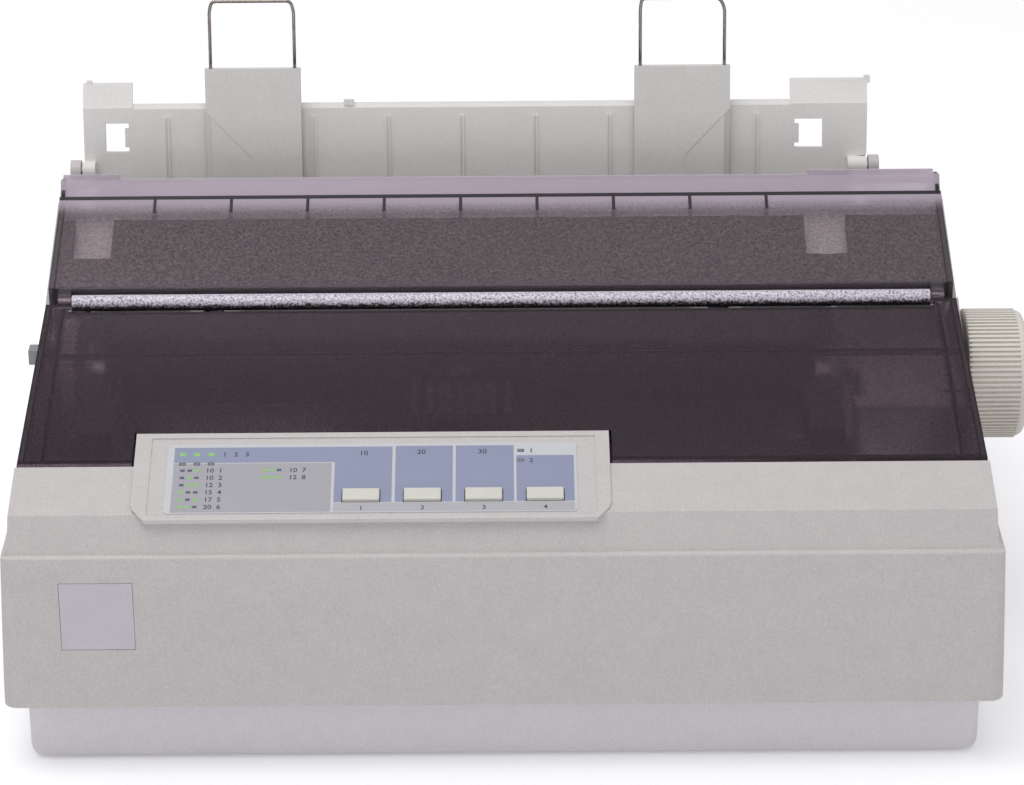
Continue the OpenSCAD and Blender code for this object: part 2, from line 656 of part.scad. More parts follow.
// ---- ribbon ----
arm_left_x = frame_left_x + 3;
arm_right_x = frame_right_x - 2;
arm_w = 12.5;
cart_low_z = 83;
cart_high_z = 99;
ribbon_y = platen_y - platen_r - 0.8;
module ribbon_cartridge() color([0.2, 0.2, 0.22]) difference() {
  union() {
    translate([0, 0, cart_low_z]) linear_extrude(cart_high_z - cart_low_z)
      rounded(arm_left_x, rail_y + 1, arm_right_x, head_y0 - 2, 3);
    for (x = [[arm_left_x, arm_left_x + arm_w], [arm_right_x - arm_w, arm_right_x]])
      translate([0, 0, cart_low_z + 3]) linear_extrude(20)
        rounded(x[0], head_y0 - 8, x[1], ribbon_y - 0.3, 3);
    for (x = [[frame_left_x, arm_left_x + 1], [arm_right_x - 1, frame_right_x + frame_t]])
      box([x[0], 68, frame_top_z], [x[1], 84, cart_low_z + 6]);
  }
  translate([ribbon_knob_x, ribbon_knob_y, cart_high_z - 2]) cylinder(r = 6.5, h = 5);
  translate([ribbon_knob_x, ribbon_knob_y, cart_low_z + 4]) cylinder(r = 2 + run, h = 30);
}

module ribbon_band() color("black") box([arm_left_x + 8, ribbon_y - 0.1, 94],
    [arm_right_x - 7, ribbon_y + 0.1, 107]);

ribbon_knob_x = arm_left_x + 31;
ribbon_knob_y = rail_y + 9;
module ribbon_knob() color([0.25, 0.25, 0.27]) translate([ribbon_knob_x, ribbon_knob_y, 0]) {
  cylinder_z(2, cart_low_z + 5, cart_high_z);
  cylinder_z(6, cart_high_z - 1.5, cart_high_z + 1.5);
}

// ---- levers ----
lever_y = 114;
lever_z = 50;
lever_x = frame_left_x - 10.5;
module release_lever() color("steelblue") difference() {
  union() {
    along_x(lever_x, lever_x + 2) {
      translate([lever_y, lever_z]) circle(4.5);
      polygon([[lever_y - 3, lever_z], [lever_y + 3, lever_z], [lever_y - 3, 117], [lever_y - 9, 117]]);
    }
    box([-ledge_half - 0.6, lever_y - 9, 111.5], [lever_x + 2, lever_y - 3, 117]);
  }
  rod_x(2 + run, lever_x - 1, lever_x + 3, lever_y, lever_z);
}

tl_y = 92;
tl_z = 78;
module thickness_lever() color("steelblue") difference() {
  along_x(frame_right_x + frame_t + 2, frame_right_x + frame_t + 4.5) {
    translate([tl_y, tl_z]) circle(5);
    translate([tl_y - 2.5, tl_z]) square([5, 34]);
  }
  rod_x(2 + run, frame_right_x, frame_right_x + 12, tl_y, tl_z);
}

// ---- electrics ----
board_z = floor_z + 5;
board_x1 = base_x - 50;
board_x0 = board_x1 - 188;
module main_board() color("darkgreen") {
  box([board_x0, 130, board_z], [board_x1, base_back_y - wall - 1, board_z + 1.6]);
  for (x = [board_x0 + 6, board_x1 - 6], y = [136, 200]) translate([x, y, 0]) cylinder_z(3, floor_z,
      board_z);
  box([board_x0 + 50, 160, board_z + 1.6], [board_x0 + 82, 174, board_z + 5]);
  box([board_x0 + 100, 150, board_z + 1.6], [board_x0 + 130, 162, board_z + 5]);
  box([board_x0 + 20, 140, board_z + 1.6], [board_x0 + 26, 190, board_z + 22]);
  for (i = [0 : 3]) translate([board_x1 - 28, 145 + i * 14, 0]) cylinder_z(5, board_z + 1.6, board_z + 18);
}

module transformer() color("darkgoldenrod") {
  box([base_x - 36, 70, floor_z], [base_x - 7.5, 114, floor_z + 8]);
  box([base_x - 34, 74, floor_z + 8], [base_x - 8, 110, floor_z + 44]);
  box([base_x - 39, 82, floor_z + 14], [base_x - 3, 102, floor_z + 38]);
}

inlet_x = base_x - 50;
para_x = [inlet_x - 98, inlet_x - 32];
serial_x = inlet_x - 146;
jack_spacing = 47.04;
jack_r = 1.4;
connector_z = board_z + 8;

module connector_holes() {
  box([para_x[0] - 1, case_d - 16, connector_z - 7], [para_x[1] + 1, case_d + 1, connector_z + 8]);
  box([serial_x - 28, case_d - 16, connector_z - 8], [serial_x + 28, case_d + 1, connector_z + 8]);
  box([inlet_x - 14.1, case_d - 16, 40.1], [inlet_x + 14.1, case_d + 1, 60.3]);
}
module parallel_connector() color("silver") difference() {
  union() {
    box([para_x[0], base_back_y - 14, board_z + 1.6], [para_x[1], base_back_y - 2, connector_z + 6]);
    box([para_x[0] + 6, base_back_y - 3, connector_z - 4.5],
        [para_x[1] - 6, base_back_y + 2, connector_z + 5]);
  }
  box([para_x[0] + 7, base_back_y - 9, connector_z - 3.5],
      [para_x[1] - 7, base_back_y + 3, connector_z + 4]);
}
module serial_connector() color("silver") difference() {
  union() {
    box([serial_x - 27, base_back_y - 5, connector_z - 6.2],
        [serial_x + 27, base_back_y - 3, connector_z + 6.2]);
    box([serial_x - 20, base_back_y - 14, board_z + 1.6],
        [serial_x + 20, base_back_y - 4, connector_z + 4.5]);
    box([serial_x - 19.5, base_back_y - 4, connector_z - 4.2],
        [serial_x + 19.5, base_back_y + 2, connector_z + 4.2]);
  }
  for (side = [-1, 1]) translate([serial_x + side * jack_spacing / 2, base_back_y, connector_z])
    rotate([90, 0, 0]) cylinder(r = jack_r, h = 12);
}
module power_inlet() color([0.15, 0.15, 0.15]) difference() {
  box([inlet_x - 13.8, case_d - 20, 40.4], [inlet_x + 13.8, case_d - 1, 60]);
  box([inlet_x - 11, case_d - 14, 43], [inlet_x + 11, case_d + 1, 57.4]);
}

// ---- power switch on the left side ----
switch_y = 46;
switch_z = 52;
function side_x(z) = case_half - (z - panel_low_z) * side_draft / (ledge_z - panel_low_z);
switch_face_x = side_x(switch_z);
module switch_hole() box([-case_half - 1, switch_y - 9, switch_z - 5.6],
    [-switch_face_x + 5, switch_y + 9, switch_z + 5.6]);
rocker_h = 10.4;
module power_switch() color([0.15, 0.15, 0.15])
  translate([4.6 - switch_face_x, switch_y, switch_z]) {
    translate([0, 0, -rocker_h / 2]) linear_extrude(rocker_h) rotate(6)
      polygon([[-4.6, -7.9], [-3.4, 0], [-4.6, 7.9], [0.5, 5.5], [3, 0], [0.5, -5.5]]);
    translate([0, 0, -rocker_h / 2 - 0.25]) cylinder(r = 1.2, h = rocker_h + 0.5);
  }

// ---- covers ----
module cover_plan(y0, y1, inset) polygon([
  [-cover_half(y0) + inset, y0], [cover_half(y0) - inset, y0],
  [cover_half(y1) - inset, y1], [-cover_half(y1) + inset, y1]]);

front_end_y = hinge_y - 4.4;
side_rib_x = cover_half(cover_y) - 8.5;
back_half = cover_half(cover_back_y);
front_gap = 0.3;
swing_r = norm([hinge_y - cover_y - front_gap, barrel_z - front_top(cover_y) + 0.6]);
front_edge_z = front_top(cover_y + 3) - skirt_h;
front_edge_y = hinge_y - sqrt(swing_r * swing_r - (barrel_z - front_edge_z) * (barrel_z - front_edge_z));
module front_cover() color(smoke) difference() {
  union() {
    intersection() {
      along_x(-200, 200) polygon([
        [front_edge_y, front_edge_z], [cover_y + front_gap, front_top(cover_y) - 0.6],
        [cover_y + front_gap + 0.9, front_top(cover_y + front_gap + 0.9)],
            [front_end_y, front_top(front_end_y)],
        [front_end_y, front_top(front_end_y) - skirt_h]]);
      translate([0, 0, 80]) linear_extrude(80) cover_plan(cover_y, front_end_y, 0);
    }
    along_x(-barrel_half, barrel_half) {
      translate([hinge_y, barrel_z]) circle(barrel_r);
      polygon([[front_end_y - 1, front_top(front_end_y - 1)], [hinge_y, barrel_z + barrel_r],
        [hinge_y - 1, barrel_z], [front_end_y - 1, front_top(front_end_y - 1) - cover_t]]);
    }
    rod_x(1.5, -barrel_half - knuckle_w + 0.5, barrel_half + knuckle_w - 0.5, hinge_y, barrel_z);
  }
  intersection() {
    along_x(-200, 200) polygon([
      [front_edge_y + cover_t, 60], [front_edge_y + cover_t, front_top(front_edge_y + cover_t) - cover_t],
      [front_end_y + 1, front_top(front_end_y + 1) - cover_t], [front_end_y + 1, 60]]);
    translate([0, 0, 60]) linear_extrude(100) cover_plan(cover_y - 1, front_end_y + 1, cover_t);
    difference() {
      box([-200, 0, 0], [200, 400, 300]);
      for (y = [60, 89]) along_x(-200, 200) polygon([
        [y, front_top(y)], [y + 1.4, front_top(y)], [y + 1.4, front_top(y) - cover_t - 1.5],
            [y, front_top(y) - cover_t - 1.5]]);
      for (side = [-1, 1]) box([side * side_rib_x - 0.7, 20, 80],
          [side * side_rib_x + 0.7, hinge_y - 5, 200]);
    }
    along_x(-200, 200) polygon([[0, 60], [0, front_top(0) - cover_t], [130, front_top(130) - cover_t],
        [130, 60]]);
  }
  along_x(-side_rib_x - 1.5, side_rib_x + 1.5) polygon([[front_edge_y + cover_t, 60],
      [front_edge_y + cover_t, front_top(cover_y) - 5],
    [front_end_y + 1, front_top(front_end_y) - 5], [front_end_y + 1, 60]]);
  box([boss_left_x - 1, 0, 60], [boss_right_x + 1, facet_y + boss_high_u * cos(band_slope) + 2, 200]);
}

module rear_cover() color(smoke) difference() {
  union() {
    intersection() {
      along_x(-200, 200) polygon([
        [hinge_y + 3.9, rear_top(hinge_y + 3.9) - skirt_h], [hinge_y + 3.9, rear_top(hinge_y + 3.9)],
        [bend_y, rear_top(bend_y)], [bend_y + 3.8, cover_top_z], [cover_back_y, cover_top_z - 1.2],
        [cover_back_y, rear_top(cover_back_y) - skirt_h]]);
      translate([0, 0, 100]) linear_extrude(80) cover_plan(hinge_y, cover_back_y, 0);
    }
    for (x = [[-back_half + 0.9, -back_half + 21.9], [back_half - 49.3, back_half - 2.3]]) intersection() {
      along_x(x[0], x[1]) polygon([[bend_y + 3.4, cover_top_z - 2], [bend_y + 4.2, cover_top_z + 1.8],
        [cover_back_y, cover_top_z + 0.8], [cover_back_y, cover_top_z - 3]]);
      translate([0, 0, 100]) linear_extrude(80) cover_plan(hinge_y, cover_back_y, 0);
    }
    for (side = [-1, 1]) {
      x = side > 0 ? barrel_half + 0.4 : -barrel_half - knuckle_w;
      along_x(x, x + knuckle_w - 0.4) {
        translate([hinge_y, barrel_z]) circle(3);
        polygon([[hinge_y + 1, barrel_z - 2], [hinge_y + 6, rear_top(hinge_y + 6) - 3],
          [hinge_y + 6, rear_top(hinge_y + 6) - 0.2], [hinge_y, barrel_z + 3]]);
      }
    }
  }
  difference() {
    intersection() {
      along_x(-200, 200) polygon([
        [hinge_y + 2, 90], [hinge_y + 3.9 + cover_t, rear_top(hinge_y + 3.9 + cover_t) - cover_t - 0.3],
        [bend_y + 1.4, rear_top(bend_y + 1.4) - cover_t - 0.3], [bend_y + 4.8, cover_top_z - cover_t],
        [cover_back_y - cover_t, cover_top_z - cover_t - 1], [cover_back_y - cover_t, 90]]);
      translate([0, 0, 60]) linear_extrude(120) cover_plan(hinge_y - 1, cover_back_y + 1, cover_t);
    }
    for (i = [-4 : 4]) along_x(carriage_x - 0.4 + i * 28.7 - 0.7,
        carriage_x - 0.4 + i * 28.7 + 0.7) polygon([
      [bend_y - 8.5, 175], [bend_y - 8.5, rear_top(bend_y - 8.5) - cover_t - 3.2],
      [bend_y + 2, rear_top(bend_y + 2) - cover_t - 3.2], [bend_y + 2, 175]]);
  }
  box([-back_half + 4.3, cover_back_y - 3, 90], [back_half - 4.3, cover_back_y + 2, cover_top_z - 6]);
  rod_x(1.5 + run, -barrel_half - knuckle_w - 1, barrel_half + knuckle_w + 1, hinge_y, barrel_z);
}

foam_y0 = hinge_y + 7;
foam_y1 = bend_y - 10.5;
foam_half = cover_half(foam_y1) - cover_t - seat;
module acoustic_foam() color([0.35, 0.33, 0.33]) difference() {
  along_x(-foam_half, foam_half) polygon([
    [foam_y0, rear_top(foam_y0) - cover_t - 0.3], [foam_y1, rear_top(foam_y1) - cover_t - 0.3],
    [foam_y1, rear_top(foam_y1) - cover_t - 0.3 - foam_t],
        [foam_y0, rear_top(foam_y0) - cover_t - 0.3 - foam_t]]);
  for (x = [[-foam_half + 5.2, -foam_half + 19.9], [foam_half - 48.7, foam_half - 33.4]])
    box([x[0], foam_y1 - 17, 100], [x[1], foam_y1 + 1, 200]);
}

// ---- sheet guide ----
plate_y = 2;
wing_h = 36;
wing_left_x = left_lug_x + 5.5;
wing_right_x = right_lug_x - 4;
module wing(x0, x1, window) difference() {
  union() {
    box([x0, plate_y, -7], [x1, plate_y + guide_t, 26]);
    translate([0, 0, 26]) along_x(x0, x1)
      polygon([[plate_y, -0.5], [plate_y + guide_t, -0.5], [plate_y + guide_t + 3.4, wing_h - 26],
          [plate_y + 3.4, wing_h - 26]]);
  }
  box([window[0], -10, 7], [window[1], 20, 19.3]);
}
module sheet_guide() color(casing) {
  guide_frame() {
    box([guide_left_x, plate_y, -9], [guide_right_x, plate_y + guide_t, guide_h - 2]);
    along_x(guide_left_x, guide_right_x) polygon([[plate_y, guide_h - 5.5], [plate_y + 1.8, guide_h],
      [plate_y + guide_t, guide_h], [plate_y + guide_t, guide_h - 5.5]]);
    for (i = [0 : rib_count - 1]) {
      x = (guide_left_x + guide_right_x) / 2 + (i - (rib_count - 1) / 2) * rib_pitch;
      for (dx = [-1, 0.4]) box([x + dx, plate_y - 0.7, -9], [x + dx + 0.6, plate_y + 0.2, guide_h - 5.5]);
    }
    wing(wing_left_x, guide_left_x + 0.01, [guide_left_x - 10.3, guide_left_x - 1.5]);
    wing(guide_right_x - 0.01, wing_right_x, [guide_right_x + 1.5, guide_right_x + 11]);
    box([guide_left_x - 3, plate_y, 9], [guide_left_x - 0.5, plate_y + guide_t, 17]);
    box([guide_right_x + 1, plate_y, 9], [guide_right_x + 3, plate_y + guide_t, 17]);
    for (x = [wing_left_x + 1.4, wing_right_x - 1]) box([x, plate_y + 3, wing_h - 2],
        [x + 2, plate_y + 5, wing_h + 1.2]);
    box([guide_left_x + 81.5, plate_y + 0.6, guide_h - 1],
        [guide_left_x + 85.5, plate_y + guide_t, guide_h + 1.4]);
    rod_x(3.4, left_lug_x + lug_w + 0.6, wing_left_x + 4, 0, 0);
    rod_x(3.4, wing_right_x - 4, right_lug_x - 0.6, 0, 0);
    for (x = [wing_left_x, wing_right_x - 3]) box([x, 0, -3.2], [x + 3, plate_y + 1, 3.2]);
    rod_x(pivot_r, left_lug_x + 0.3, wing_left_x + 2, 0, 0);
    rod_x(pivot_r, wing_right_x, right_lug_x + lug_w - 0.3, 0, 0);
  }
}

edge_front_y = -2.9;
edge_back_y = 0.9;
leg_y = -1;
leg_inset = 2.2;
module edge_guide(x, flip) guide_frame() difference() {
  union() {
    box([x, edge_front_y + 1.2, -8], [x + edge_w, edge_back_y, edge_h]);
    along_y(edge_front_y, edge_front_y + 1.3) polygon(flip
      ? [[x, -8], [x + edge_w / 2 + 1, -8], [x + edge_w / 2 + 1, 5], [x + edge_w, 23],
          [x + edge_w, edge_h], [x, edge_h]]
      : [[x + edge_w, -8], [x + edge_w / 2 - 1, -8], [x + edge_w / 2 - 1, 5], [x, 23], [x, edge_h],
          [x + edge_w, edge_h]]);
    box([x + 6, edge_back_y - 0.2, guide_h + 0.3],
        [x + edge_w - 6, plate_y + guide_t + 2.3, guide_h + 2.3]);
    box([x + 6, plate_y + guide_t + 0.3, 12], [x + edge_w - 6, plate_y + guide_t + 2.3, guide_h + 2.3]);
  }
  for (leg = [x + leg_inset, x + edge_w - leg_inset])
    translate([leg, leg_y, -9]) cylinder(r = wire_d / 2 + run, h = edge_h + 20);
}
module left_edge_guide() color(casing) edge_guide(left_edge_x, false);
module right_edge_guide() color(casing) edge_guide(right_edge_x, true);

wire_low = 12;
wire_bend_r = 3;
module wire(x) color(steel) guide_frame() {
  left = x + leg_inset;
  right = x + edge_w - leg_inset;
  top = edge_h + wire_up;
  for (leg = [left, right]) translate([leg, leg_y, wire_low]) cylinder(r = wire_d / 2,
      h = top - wire_low - wire_bend_r);
  translate([left + wire_bend_r, leg_y, top]) rotate([0, 90, 0]) cylinder(r = wire_d / 2,
      h = right - left - 2 * wire_bend_r);
  for (side = [[left + wire_bend_r, 90], [right - wire_bend_r, 0]])
    translate([side[0], leg_y, top - wire_bend_r]) rotate([90, 0, 0]) rotate(side[1])
      rotate_extrude(angle = 90) translate([wire_bend_r, 0]) circle(wire_d / 2, $fn = 16);
}
module left_wire() wire(left_edge_x);
module right_wire() wire(right_edge_x);

// ---- tractors ----
module tractor_rod() color(steel) rod_x(tractor_shaft_r, frame_left_x, frame_right_x + frame_t,
    tractor_rod_y, tractor_z);

module tractor_shaft() color(steel) {
  rod_x(tractor_shaft_r, gear_left_x - 0.5, frame_right_x + frame_t + 1, tractor_y, tractor_z);
  gear(tractor_teeth, tractor_y, tractor_z, tractor_turn, tractor_shaft_r - 0.5);
}

tractor_w = 18;
left_tractor_x = frame_left_x + 34;
right_tractor_x = frame_right_x - 49;
sprocket_r = 8;
lid_pin_z = tractor_z + 12.2;
lid_pin_r = 0.9;
lid_y0 = tractor_y - 6;
lid_y1 = tractor_rod_y + 6;
lug_len = 3.2;

// hinge_x is the line that the lid turns about, near the outer side of the tractor
module tractor(x, hinge_x) {
  difference() {
    along_x(x, x + tractor_w) {
      translate([tractor_y, tractor_z]) circle(10);
      translate([tractor_rod_y, tractor_z]) circle(10);
      translate([tractor_y, tractor_z - 10]) square([tractor_rod_y - tractor_y, 20]);
    }
    rod_x(tractor_shaft_r + run, x - 1, x + tractor_w + 1, tractor_y, tractor_z);
    rod_x(tractor_shaft_r + run, x - 1, x + tractor_w + 1, tractor_rod_y, tractor_z);
    box([x + 5, tractor_y - 12, tractor_z - 12], [x + 13, tractor_y + 12, tractor_z + 12]);
  }
  for (y = [tractor_y + 1, tractor_rod_y - 1 - lug_len])
    along_y(y, y + lug_len) {
      translate([hinge_x, lid_pin_z]) circle(1.6);
      translate([hinge_x - 1.6, tractor_z + 9]) square([3.2, lid_pin_z - tractor_z - 9]);
    }
  along_y(tractor_y + 2, tractor_rod_y - 2) translate([hinge_x, lid_pin_z]) circle(lid_pin_r);
}
module left_tractor() color(casing) tractor(left_tractor_x, left_tractor_x + 1.6);
module right_tractor() color(casing) tractor(right_tractor_x, right_tractor_x + tractor_w - 1.6);

module sprocket(x) difference() {
  union() {
    rod_x(sprocket_r, x + 6, x + 12, tractor_y, tractor_z);
    along_x(x + 8, x + 10) translate([tractor_y, tractor_z])
      for (a = [0 : 45 : 315]) rotate(a) translate([sprocket_r - 2, -1]) square([4.2, 2]);
  }
  rod_x(tractor_shaft_r + run, x, x + tractor_w, tractor_y, tractor_z);
}
module left_sprocket() color("dimgray") sprocket(left_tractor_x);
module right_sprocket() color("dimgray") sprocket(right_tractor_x);

// side is 1 where the lid reaches towards +X from its hinge line
module tractor_lid(hinge_x, side) color(casing) {
  reach = tractor_w - 2.4;
  barrel_y0 = tractor_y + 1 + lug_len + seat;
  barrel_y1 = tractor_rod_y - 1 - lug_len - seat;
  translate([hinge_x, 0, 0]) mirror([side > 0 ? 0 : 1, 0, 0]) difference() {
    union() {
      box([2.1, lid_y0, tractor_z + 11.2], [reach, lid_y1, tractor_z + 12.8]);
      along_y(barrel_y0, barrel_y1) {
        translate([0, lid_pin_z]) circle(1.6);
        translate([0, tractor_z + 11.2]) square([3, 1.6]);
      }
      for (y = [lid_y0 + 8, lid_y0 + 16]) box([8, y, tractor_z + 12.6], [reach, y + 1.2, tractor_z + 13.4]);
    }
    along_y(barrel_y0 - 1, barrel_y1 + 1) translate([0, lid_pin_z]) circle(lid_pin_r + run);
    box([reach - 8, tractor_y - 12, tractor_z], [reach - 4.4, tractor_y + 4, tractor_z + 20]);
  }
}
module left_tractor_lid() tractor_lid(left_tractor_x + 1.6, 1);
module right_tractor_lid() tractor_lid(right_tractor_x + tractor_w - 1.6, -1);

placed() base_tray();
placed() rubber_feet();
placed() upper_case();
placed() case_screws();
placed() panel_overlay();
placed() panel_board();
placed() led_lamps();
placed() badge_plate();
placed() left_frame();
placed() right_frame();
placed() cross_rail();
placed() front_rail();
placed() guide_rod();
placed() paper_pan();
placed() platen_bushes();
placed() carriage_motor();
placed() motor_pulley();
placed() idler_pulley();
placed() drive_belt();
placed() feed_motor();
placed() feed_pinion();
placed() reduction_gear();
placed() transfer_gear();
placed() main_board();
placed() transformer();
placed() parallel_connector();
placed() serial_connector();
placed() power_inlet();
placed() power_switch();
placed() ribbon_cartridge();
placed() ribbon_band();
placed() ribbon_knob();
placed() platen_shaft();
placed() platen_roller();
placed() platen_gear();
placed() platen_knob();
placed() carriage_frame();
placed() print_head();
placed() release_lever();
placed() thickness_lever();
placed() font_button();
placed() feed_button();
placed() load_button();
placed() pause_button();
placed() rear_cover();
placed() acoustic_foam();
placed() front_cover();
placed() sheet_guide();
placed() left_edge_guide();
placed() right_edge_guide();
placed() left_wire();
placed() right_wire();
placed() tractor_rod();
placed() tractor_shaft();
placed() left_tractor();
placed() right_tractor();
placed() left_sprocket();
placed() right_sprocket();
placed() left_tractor_lid();
placed() right_tractor_lid();
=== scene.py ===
import bpy, bmesh, json, math
from mathutils import Matrix, Vector, noise


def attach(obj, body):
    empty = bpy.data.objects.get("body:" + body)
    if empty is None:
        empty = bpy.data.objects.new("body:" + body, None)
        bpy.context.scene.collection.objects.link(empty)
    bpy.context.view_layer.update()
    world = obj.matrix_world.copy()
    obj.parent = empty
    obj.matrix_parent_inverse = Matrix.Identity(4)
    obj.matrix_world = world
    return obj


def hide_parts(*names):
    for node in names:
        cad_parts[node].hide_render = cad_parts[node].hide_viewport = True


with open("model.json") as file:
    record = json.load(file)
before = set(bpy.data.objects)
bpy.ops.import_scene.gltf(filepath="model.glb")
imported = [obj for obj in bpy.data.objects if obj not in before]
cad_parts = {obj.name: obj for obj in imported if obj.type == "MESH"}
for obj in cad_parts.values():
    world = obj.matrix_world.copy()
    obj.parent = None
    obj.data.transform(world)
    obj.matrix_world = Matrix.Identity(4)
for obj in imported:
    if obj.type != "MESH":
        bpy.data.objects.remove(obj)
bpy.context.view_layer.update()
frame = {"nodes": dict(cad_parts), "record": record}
record = frame["record"]
node_body = {n: b for b, nodes in record["behaviour"]["bodies"].items() for n in nodes}
slot_of = {part["node"]: part["material_slot"] for part in record["subparts"]}

MM = 0.001
# The case's own coordinates have x = 0 on its centre line and y = 0 on its front face
CASE_SHIFT = Vector((-8.5, -137.5, 0))
CASE_FRAME = Matrix.Identity(4)

# Folds flatter than this stay smooth, and sharper ones are eased
SOFT_EDGE = math.radians(28)

# Key panel: it climbs from the band in front to the covers' front edge
PANEL_FOOT_Y, PANEL_FOOT_Z, PANEL_HEAD_Y, PANEL_HEAD_Z = 6.2, 98.9, 28.7, 106.9
PANEL_FRAME = (Matrix.Translation((0, PANEL_FOOT_Y, PANEL_FOOT_Z))
               @ Matrix.Rotation(math.atan2(PANEL_HEAD_Z - PANEL_FOOT_Z, PANEL_HEAD_Y - PANEL_FOOT_Y), 4, "X"))
BOSS_LEFT, BOSS_RIGHT = -127.6, 37.3

# Sheet guide: it turns on its lugs and leans back 10 degrees
GUIDE_FRAME = Matrix.Translation((0, 205, 149)) @ Matrix.Rotation(math.radians(-10), 4, "X")
WING_LEFT, WING_RIGHT = -141.7, 112.2
WIRE_KINK = 61.6

# Smoked covers: a sheet 2.2 mm thick, its front half hung on a barrel at the back
SHEET = 2.2
HINGE_Y, BARREL_Z, BARREL_R = 121, 129.03, 3.0
FRONT_SLOPE, REAR_SLOPE = math.radians(15), math.radians(24.4)
RIB_X, RIB_PITCH = -14.9, 28.7


def place(x, y, z):
    """A point given in the case's own millimetres, in metres."""
    return (Vector((x, y, z)) + CASE_SHIFT) * MM


# ---- camera, light and stage ----
def set_camera():
    cam = bpy.data.cameras.new("view_camera")
    cam.lens, cam.sensor_width, cam.shift_x = 127.35, 36, 0.0101
    cam.clip_start, cam.clip_end = 0.05, 30
    holder = bpy.data.objects.new("view_camera", cam)
    bpy.context.collection.objects.link(holder)
    look_down, roll = math.radians(90 - 24.5), math.radians(-0.42)
    holder.matrix_world = (Matrix.Translation((-0.0085, -1.2415, 0.650))
                           @ Matrix.Rotation(look_down, 4, "X") @ Matrix.Rotation(roll, 4, "Z"))
    bpy.context.scene.camera = holder


def linear(hex_colour, alpha=1.0):
    """sRGB hex to linear."""
    channels = [int(hex_colour[i:i + 2], 16) / 255 for i in (1, 3, 5)]
    return (*[c / 12.92 if c <= 0.04045 else ((c + 0.055) / 1.055) ** 2.4 for c in channels], alpha)


def add(tree, kind, inputs=None, stops=(), **settings):
    """Adds one node, sets it and its colour stops, and links or fills its inputs."""
    made = tree.nodes.new("ShaderNode" + kind)
    for i, (at, hex_colour) in enumerate(stops):
        made.color_ramp.elements[i].position, made.color_ramp.elements[i].color = at, linear(hex_colour)
    for name, value in settings.items():
        setattr(made, name, value)
    for key, value in (inputs or {}).items():
        if isinstance(value, bpy.types.NodeSocket):
            tree.links.new(value, made.inputs[key])
        else:
            made.inputs[key].default_value = value
    return made


def studio_world():
    """Even soft light, and plain white behind the object."""
    world = bpy.data.worlds.new("soft_studio")
    bpy.context.scene.world = world
    world.use_nodes = True
    tree = world.node_tree
    tree.nodes.clear()
    path = add(tree, "LightPath")
    seen = add(tree, "Math", {0: path.outputs["Is Camera Ray"], 1: path.outputs["Is Transmission Ray"]},
               operation="MAXIMUM")
    fill = add(tree, "Background", {"Color": linear("#f7f6fb"), "Strength": 0.66})
    white = add(tree, "Background", {"Color": (1, 1, 1, 1), "Strength": 1.0})
    both = add(tree, "MixShader", {0: seen.outputs[0], 1: fill.outputs[0], 2: white.outputs[0]})
    add(tree, "OutputWorld", {"Surface": both.outputs[0]})


def soft_box(name, at, aim, size, power):
    lamp = bpy.data.lights.new(name, "AREA")
    lamp.shape, lamp.size, lamp.size_y, lamp.energy = "RECTANGLE", size[0], size[1], power
    holder = bpy.data.objects.new(name, lamp)
    bpy.context.collection.objects.link(holder)
    holder.location = at
    holder.rotation_euler = (Vector(aim) - Vector(at)).to_track_quat("-Z", "Y").to_euler()


def sweep_floor():
    """A white sweep that stays white and still takes the soft shadow."""
    mesh = bmesh.new()
    bmesh.ops.create_circle(mesh, cap_ends=True, segments=96, radius=6)
    floor = link_mesh("floor", mesh)
    coat = bpy.data.materials.new("matt_white_paper_sweep")
    coat.use_nodes = True
    tree = coat.node_tree
    tree.nodes.clear()
    path = add(tree, "LightPath")
    matt = add(tree, "BsdfDiffuse", {"Color": (0.86, 0.86, 0.87, 1)})
    glow = add(tree, "Emission", {"Color": (1, 1, 1, 1), "Strength": 0.275})
    lit = add(tree, "AddShader", {0: matt.outputs[0], 1: glow.outputs[0]})
    both = add(tree, "MixShader", {0: path.outputs["Is Camera Ray"], 1: matt.outputs[0], 2: lit.outputs[0]})
    add(tree, "OutputMaterial", {"Surface": both.outputs[0]})
    floor.data.materials.append(coat)


# ---- mesh helpers ----
def link_mesh(name, mesh):
    data = bpy.data.meshes.new(name)
    mesh.to_mesh(data)
    mesh.free()
    made = bpy.data.objects.new(name, data)
    bpy.context.collection.objects.link(made)
    return made


def settle(piece, body, finish, replaces=()):
    """Gives a finished piece its body and finish, and hides the CAD parts it replaces."""
    piece.data.materials.clear()
    piece.data.materials.append(finish)
    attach(piece, body)
    if replaces:
        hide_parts(*replaces)
    return piece


def add_block(mesh, low, high, matrix):
    """A flat block of ink between two corners, given in the panel's millimetres."""
    low, high = Vector(low), Vector(high)
    size, centre = high - low, (high + low) / 2
    made = bmesh.ops.create_cube(mesh, size=1)["verts"]
    bmesh.ops.scale(mesh, vec=size, verts=made)
    bmesh.ops.translate(mesh, vec=centre, verts=made)
    bmesh.ops.transform(mesh, matrix=matrix, verts=made)


def cut_across(mesh, frame_mm, point, normal):
    """Adds an edge loop where a plane, given in a frame of the case, crosses the mesh."""
    turn = frame_mm.to_3x3()
    bmesh.ops.bisect_plane(mesh, geom=mesh.verts[:] + mesh.edges[:] + mesh.faces[:], dist=1e-7,
                           plane_co=place(*(frame_mm @ Vector(point))), plane_no=turn @ Vector(normal))


def reshape(mesh, frame_mm, rule):
    """Moves each point by a rule given in millimetres in a frame of the case."""
    back = frame_mm.inverted()
    for vert in mesh.verts:
        vert.co = place(*(frame_mm @ rule(back @ (vert.co / MM - CASE_SHIFT))))


def along_barrel(mesh, outline, half):
    """An outline in the case's side view, drawn out along the hinge."""
    end = mesh.faces.new([mesh.verts.new(place(-half, y, z)) for y, z in outline])
    draw_out(mesh, [end], (2 * half * MM, 0, 0))


